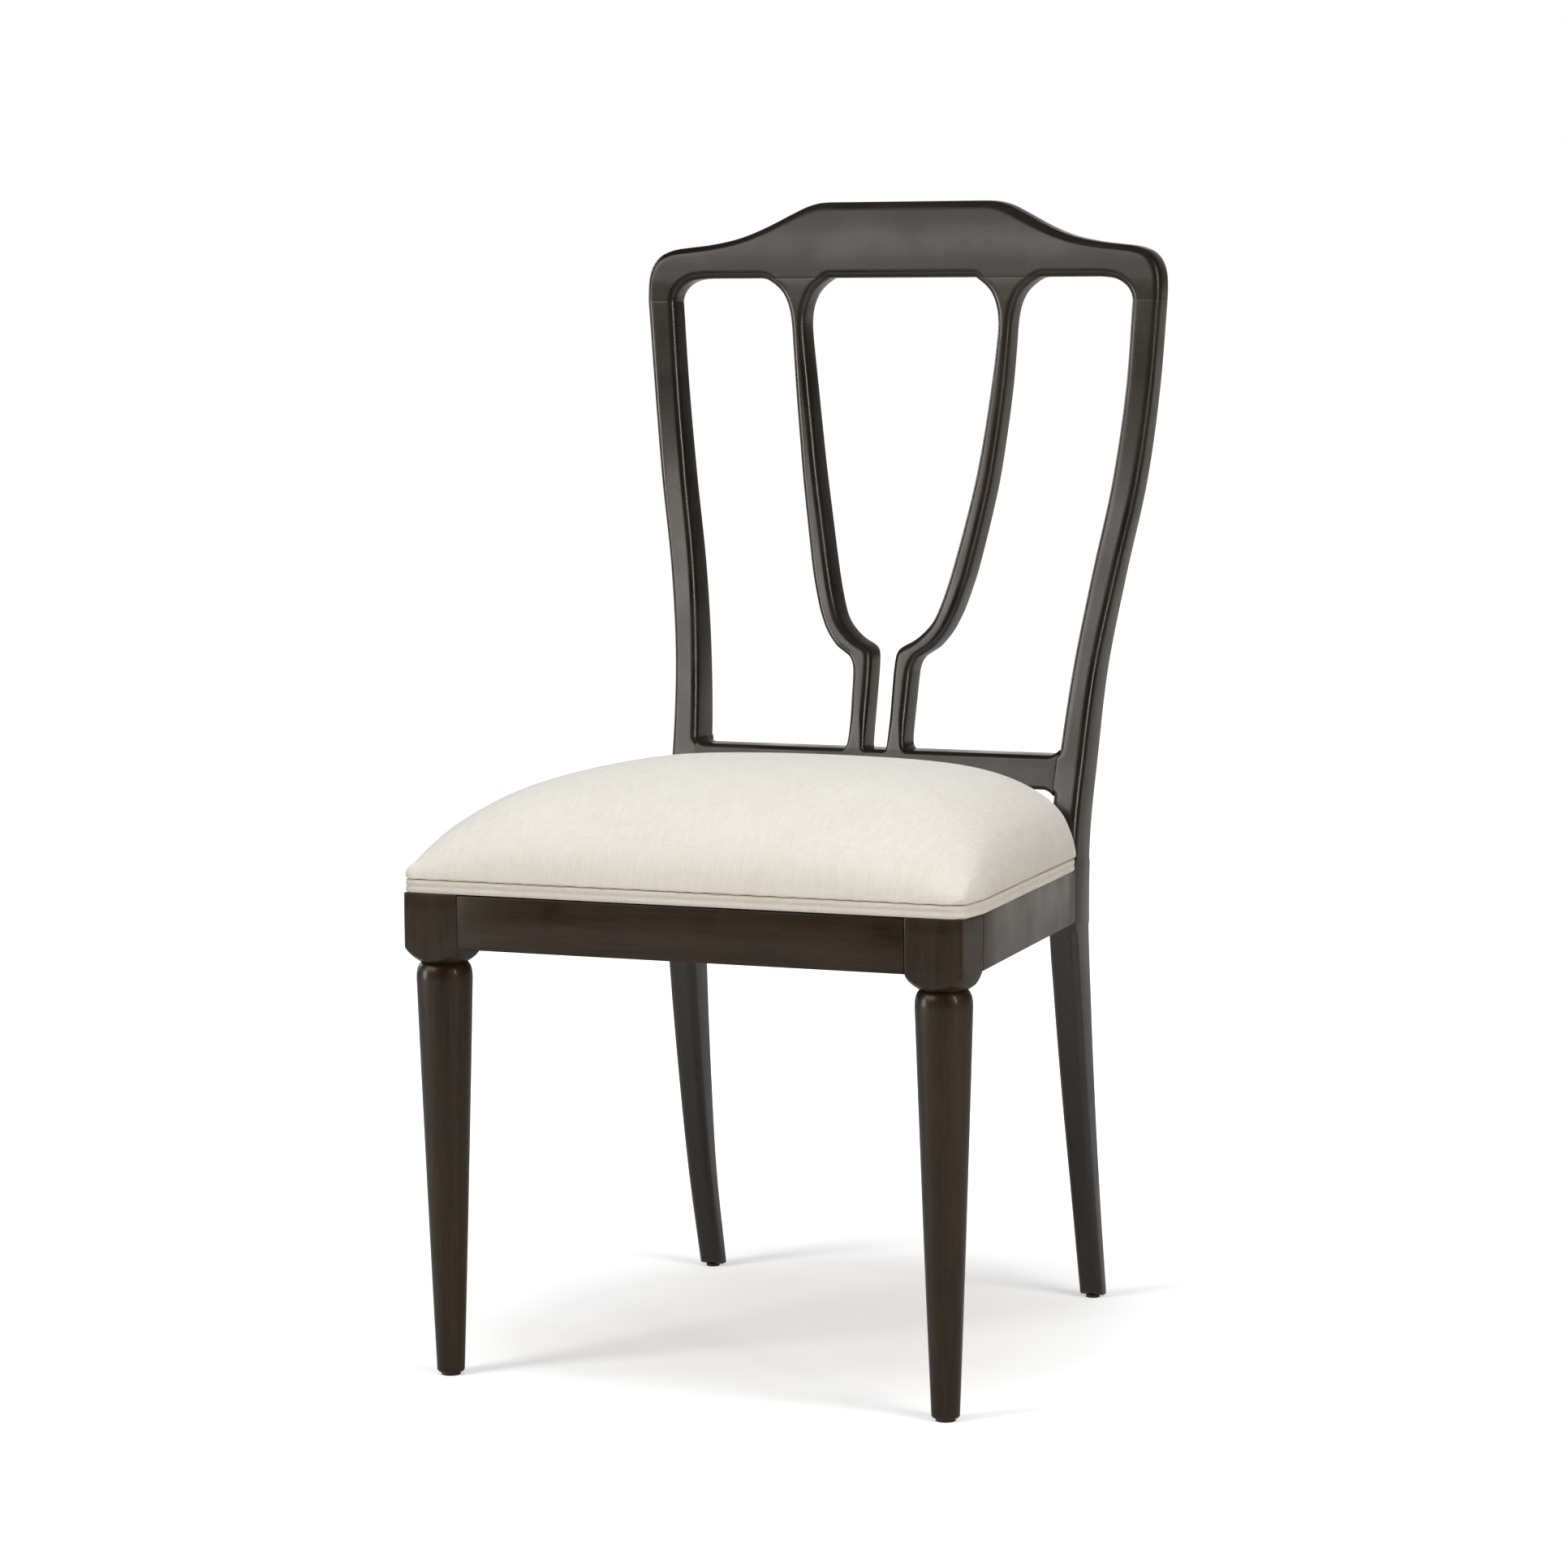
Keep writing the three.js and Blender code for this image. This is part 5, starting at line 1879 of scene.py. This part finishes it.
@dataclass(frozen=True)
class HiddenParts:
    """The CAD pieces that stay as they are: corner blocks, board, dowels, screws and glides."""

    poplar: RawWood = RawWood("poplar_block", (0.52, 0.40, 0.24), (0.36, 0.25, 0.13))
    birch: PlySheet = PlySheet()
    beech: RawWood = RawWood("beech_dowel", (0.62, 0.45, 0.27), (0.48, 0.31, 0.17), Grain.UPRIGHT)
    zinc: PlainFinish = PlainFinish(
        "zinc_screw", (0.55, 0.54, 0.50), (0.40, 0.38, 0.33), (0.28, 0.46), 700, 0.00004, 1.0, (1, 1, 6)
    )
    nylon: PlainFinish = PlainFinish(
        "nylon_glide", (0.022, 0.022, 0.023), (0.012, 0.012, 0.012), (0.42, 0.6), 1200, 0.00008
    )

    def looks(self) -> dict[str, Material]:
        """Makes the finishes.

        Returns:
            Each finish by how the names of its nodes start.
        """
        return {
            "corner_block": self.poplar.build(),
            "seat_board": self.birch.build(),
            "dowel": self.beech.build(),
            "screw": self.zinc.build(),
            "glide": self.nylon.build(),
        }

    def dress(self) -> None:
        """Gives each remaining CAD node its finish."""
        looks = self.looks()
        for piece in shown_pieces():
            node = piece.get("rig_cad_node")
            if node is None or piece.hide_render:
                continue
            look = next(made for start, made in looks.items() if node.startswith(start))
            if piece.material_slots:
                for slot in piece.material_slots:
                    slot.material = look
            else:
                piece.data.materials.append(look)
            log.info("%s: %s", node, look.name)


# ---------------------------------------------------------------------------
# Studio

SHEEN_ALONE = {"mirrored": True, "spreading": False}


@dataclass(frozen=True)
class SoftBox:
    """One softbox, by where it hangs round the chair and how bright it is."""

    name: str
    azimuth: float
    elevation: float
    away: float
    size: tuple[float, float]
    watts: float
    tint: Triple = (1, 1, 1)
    mirrored: bool = False
    spreading: bool = True
    aim: Triple = (0, 0, 0.55)

    def hang(self, lit: bpy.types.Collection | None = None) -> None:
        """Puts the lamp in the scene.

        Args:
            lit: what the lamp lights, where that isn't everything.
        """
        lamp = bpy.data.lights.new(self.name, "AREA")
        lamp.shape = "RECTANGLE"
        lamp.size, lamp.size_y = self.size
        lamp.energy = self.watts
        lamp.color = self.tint
        a, e = math.radians(self.azimuth), math.radians(self.elevation)
        way = Vector((math.sin(a) * math.cos(e), -math.cos(a) * math.cos(e), math.sin(e)))
        made = add_object(self.name, lamp)
        made.location = Vector(self.aim) + way * self.away
        made.rotation_euler = (-way).to_track_quat("-Z", "Y").to_euler()
        made.visible_glossy = self.mirrored
        made.visible_diffuse = self.spreading
        if lit is not None:
            made.light_linking.receiver_collection = lit


@dataclass(frozen=True)
class Floor:
    """Pale floor that looks white to the camera and keeps the chair's shadow; behind the chair it also glows for
    reflection rays alone, a painted reflection in the chair's sheen.
    """

    reach: float = 60.0
    tiles: int = 12
    gain: float = 0.47
    lift: float = 0.31
    far_lift: float = 0.98
    tint: Triple = (1.015, 1.0, 0.985)
    # Painted reflection: colour and strength of the floor's glow that only reflection rays see.
    painted_reflection_tint: Triple = (1, 0.95, 0.85)
    sheen: float = 0.45

    def finish(self) -> Material:
        """Makes the floor's material.

        Returns:
            The material.
        """
        recipe = Recipe("white_floor")
        spot, path = recipe.place(), recipe.node("LightPath").outputs
        seen = recipe.maths("MAXIMUM", path["Is Camera Ray"], path["Is Transmission Ray"])
        pale = recipe.mix(recipe.times(recipe.noise(spot, 30, 2), 0.1), (0.41, 0.41, 0.41), (0.4, 0.4, 0.4))
        colour = recipe.mix(seen, pale, tuple(self.gain * c for c in self.tint))
        # Painted reflection: behind the chair, fading out to its right, the floor glows warm for reflection rays
        # alone, so the wood's sides show a lighter sheen.
        part = recipe.axes(spot)
        to_right, to_back = recipe.spread(part[0], 1.0, 1.6, (1, 0)), recipe.spread(part[1], 3.8, 5.2)
        behind = recipe.times(recipe.spread(part[1], 1.4, 3.0), recipe.maths("MAXIMUM", to_right, to_back))
        mirrored = recipe.times(path["Is Glossy Ray"], recipe.times(behind, self.sheen))
        away = recipe.node("VectorMath", {"operation": "LENGTH"}, in0=spot).outputs["Value"]
        lift = recipe.times(seen, recipe.spread(away, 0.24, 0.85, (self.lift, self.far_lift)))
        glow = recipe.node(
            "Emission",
            Color=recipe.mix(seen, self.painted_reflection_tint, (1, 1, 1)),
            Strength=recipe.maths("MAXIMUM", lift, mirrored),
        )
        shade = recipe.node("BsdfDiffuse", Color=colour)
        both = recipe.node("AddShader", in0=shade.outputs[0], in1=glow.outputs[0])
        recipe.give(recipe.out.inputs["Surface"], both.outputs[0])
        return recipe.material

    def build(self) -> Object:
        """Lays the floor.

        Returns:
            The floor.
        """
        ticks, row = np.linspace(-self.reach, self.reach, self.tiles + 1), self.tiles + 1
        points = [(x, y, 0.0) for y in ticks for x in ticks]
        corners = [j * row + i for j in range(self.tiles) for i in range(self.tiles)]
        mesh = bpy.data.meshes.new("floor")
        mesh.from_pydata(points, [], [[k, k + 1, k + row + 1, k + row] for k in corners])
        mesh.materials.append(self.finish())
        made = add_object("floor", mesh)
        made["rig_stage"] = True
        return made


@dataclass
class Studio:
    """The floor, the surroundings, the softboxes and the camera."""

    floor: Floor = Floor()
    eye: Triple = (1514.24, -3403.79, 921.32)
    azimuth: float = 22.786
    pitch: float = 6.467
    roll: float = -0.461
    lens: float = 107.74
    film: float = 36.0
    clip: tuple[float, float] = (0.1, 60)
    ambient: float = 0.21
    dark_room: float = 0.06
    lamps: tuple[SoftBox, ...] = (
        SoftBox("overhead", 10, 78, 2.8, (2.5, 2.5), 87, (0.81, 0.9, 1.0)),
        SoftBox("front_left", -30, 30, 3.4, (1.6, 1.1), 5, (1.0, 0.88, 0.74)),
        SoftBox("left", -62, 20, 3.2, (0.4, 1.4), 11, (1.0, 0.93, 0.84), mirrored=True),
        SoftBox("right", 56, 18, 3.2, (0.4, 1.4), 27, (1.0, 0.9, 0.77)),
        SoftBox("front_sheen", -37, 27, 3.4, (2.2, 1.5), 44, (1.0, 0.97, 0.98), **SHEEN_ALONE),
        SoftBox("left_sheen", -60, 0, 3.2, (0.9, 1.0), 30, (1.0, 0.95, 0.88), **SHEEN_ALONE),
        SoftBox("right_strip", 68, 20, 3.0, (0.22, 1.9), 30, (1.0, 0.97, 0.93), **SHEEN_ALONE),
        SoftBox("left_strip", -112, 20, 3.0, (0.22, 1.6), 12, (1.0, 0.97, 0.93), **SHEEN_ALONE),
    )
    floor_lamps: tuple[SoftBox, ...] = (
        SoftBox("floor_left", -37, 24, 3.2, (1.0, 0.6), 105, aim=(0, 0, 0)),
        SoftBox("floor_right", 72, 24, 3.2, (1.0, 0.6), 85, aim=(0, 0, 0)),
    )

    def surroundings(self) -> None:
        """Sets the world: white to the camera, white behind and left of the chair in its sheen, dim grey otherwise."""
        world = bpy.data.worlds.new("white_room")
        world.use_nodes = True
        sheet = NodeSheet(world.node_tree)
        path = sheet.node("LightPath").outputs
        way = sheet.axes(sheet.node("TexCoord").outputs["Generated"])
        back = sheet.spread(way[1], -0.15, 0.45, eased=True)
        low = sheet.spread(way[2], 0.12, 0.4, (1, 0), eased=True)
        left = sheet.spread(way[0], -0.02, 0.28, (1, 0), eased=True)
        mirrored = sheet.times(path["Is Glossy Ray"], sheet.times(sheet.times(back, low), left))
        seen = sheet.maths("MAXIMUM", path["Is Camera Ray"], path["Is Transmission Ray"])
        dimmer = sheet.times(path["Is Glossy Ray"], self.ambient - self.dark_room)
        plain = sheet.maths("SUBTRACT", self.ambient, dimmer)
        strength = sheet.maths("MAXIMUM", sheet.maths("MAXIMUM", seen, mirrored), plain)
        shade = sheet.node("Background", Color=(1, 1, 1, 1), Strength=strength)
        sheet.node("OutputWorld", Surface=shade.outputs[0])
        bpy.context.scene.world = world

    def camera(self) -> None:
        """Sets the camera where the photograph was taken from."""
        a, p, rho = (math.radians(v) for v in (self.azimuth, self.pitch, self.roll))
        right = Vector((math.cos(a), math.sin(a), 0))
        level = Vector((-math.sin(a), math.cos(a), 0))
        up = Vector((0, 0, 1))
        ahead = level * math.cos(p) - up * math.sin(p)
        top = up * math.cos(p) + level * math.sin(p)
        across = right * math.cos(rho) + top * math.sin(rho)
        above = top * math.cos(rho) - right * math.sin(rho)
        data = bpy.data.cameras.new("studio_camera")
        data.sensor_fit = "HORIZONTAL"
        data.sensor_width = self.film
        data.lens = self.lens
        data.clip_start, data.clip_end = self.clip
        made = add_object("studio_camera", data)
        spot = Vector(to_frame(np.array([self.eye]))[0])
        made.matrix_world = Matrix.Translation(spot) @ Matrix((across, above, -ahead)).transposed().to_4x4()
        bpy.context.scene.camera = made

    def build(self) -> None:
        """Sets up the studio."""
        floor_alone = bpy.data.collections.new("floor_alone")
        floor_alone.objects.link(self.floor.build())
        self.surroundings()
        for lamp in self.lamps:
            lamp.hang()
        for lamp in self.floor_lamps:
            lamp.hang(floor_alone)
        self.camera()
        bpy.context.scene.view_settings.view_transform = "Standard"


def main() -> None:
    """Builds the chair piece by piece, then the studio round it."""
    logging.basicConfig(level=logging.INFO, format="%(name)s %(message)s")
    finishes = Finishes()
    for part in (Back, FrontLegs, SeatRails, Seat):
        made = part(finishes).build()
        log.info("%s: %d pieces", part.__name__, len(made))
    HiddenParts().dress()
    Studio().build()


if __name__ == "__main__":
    main()
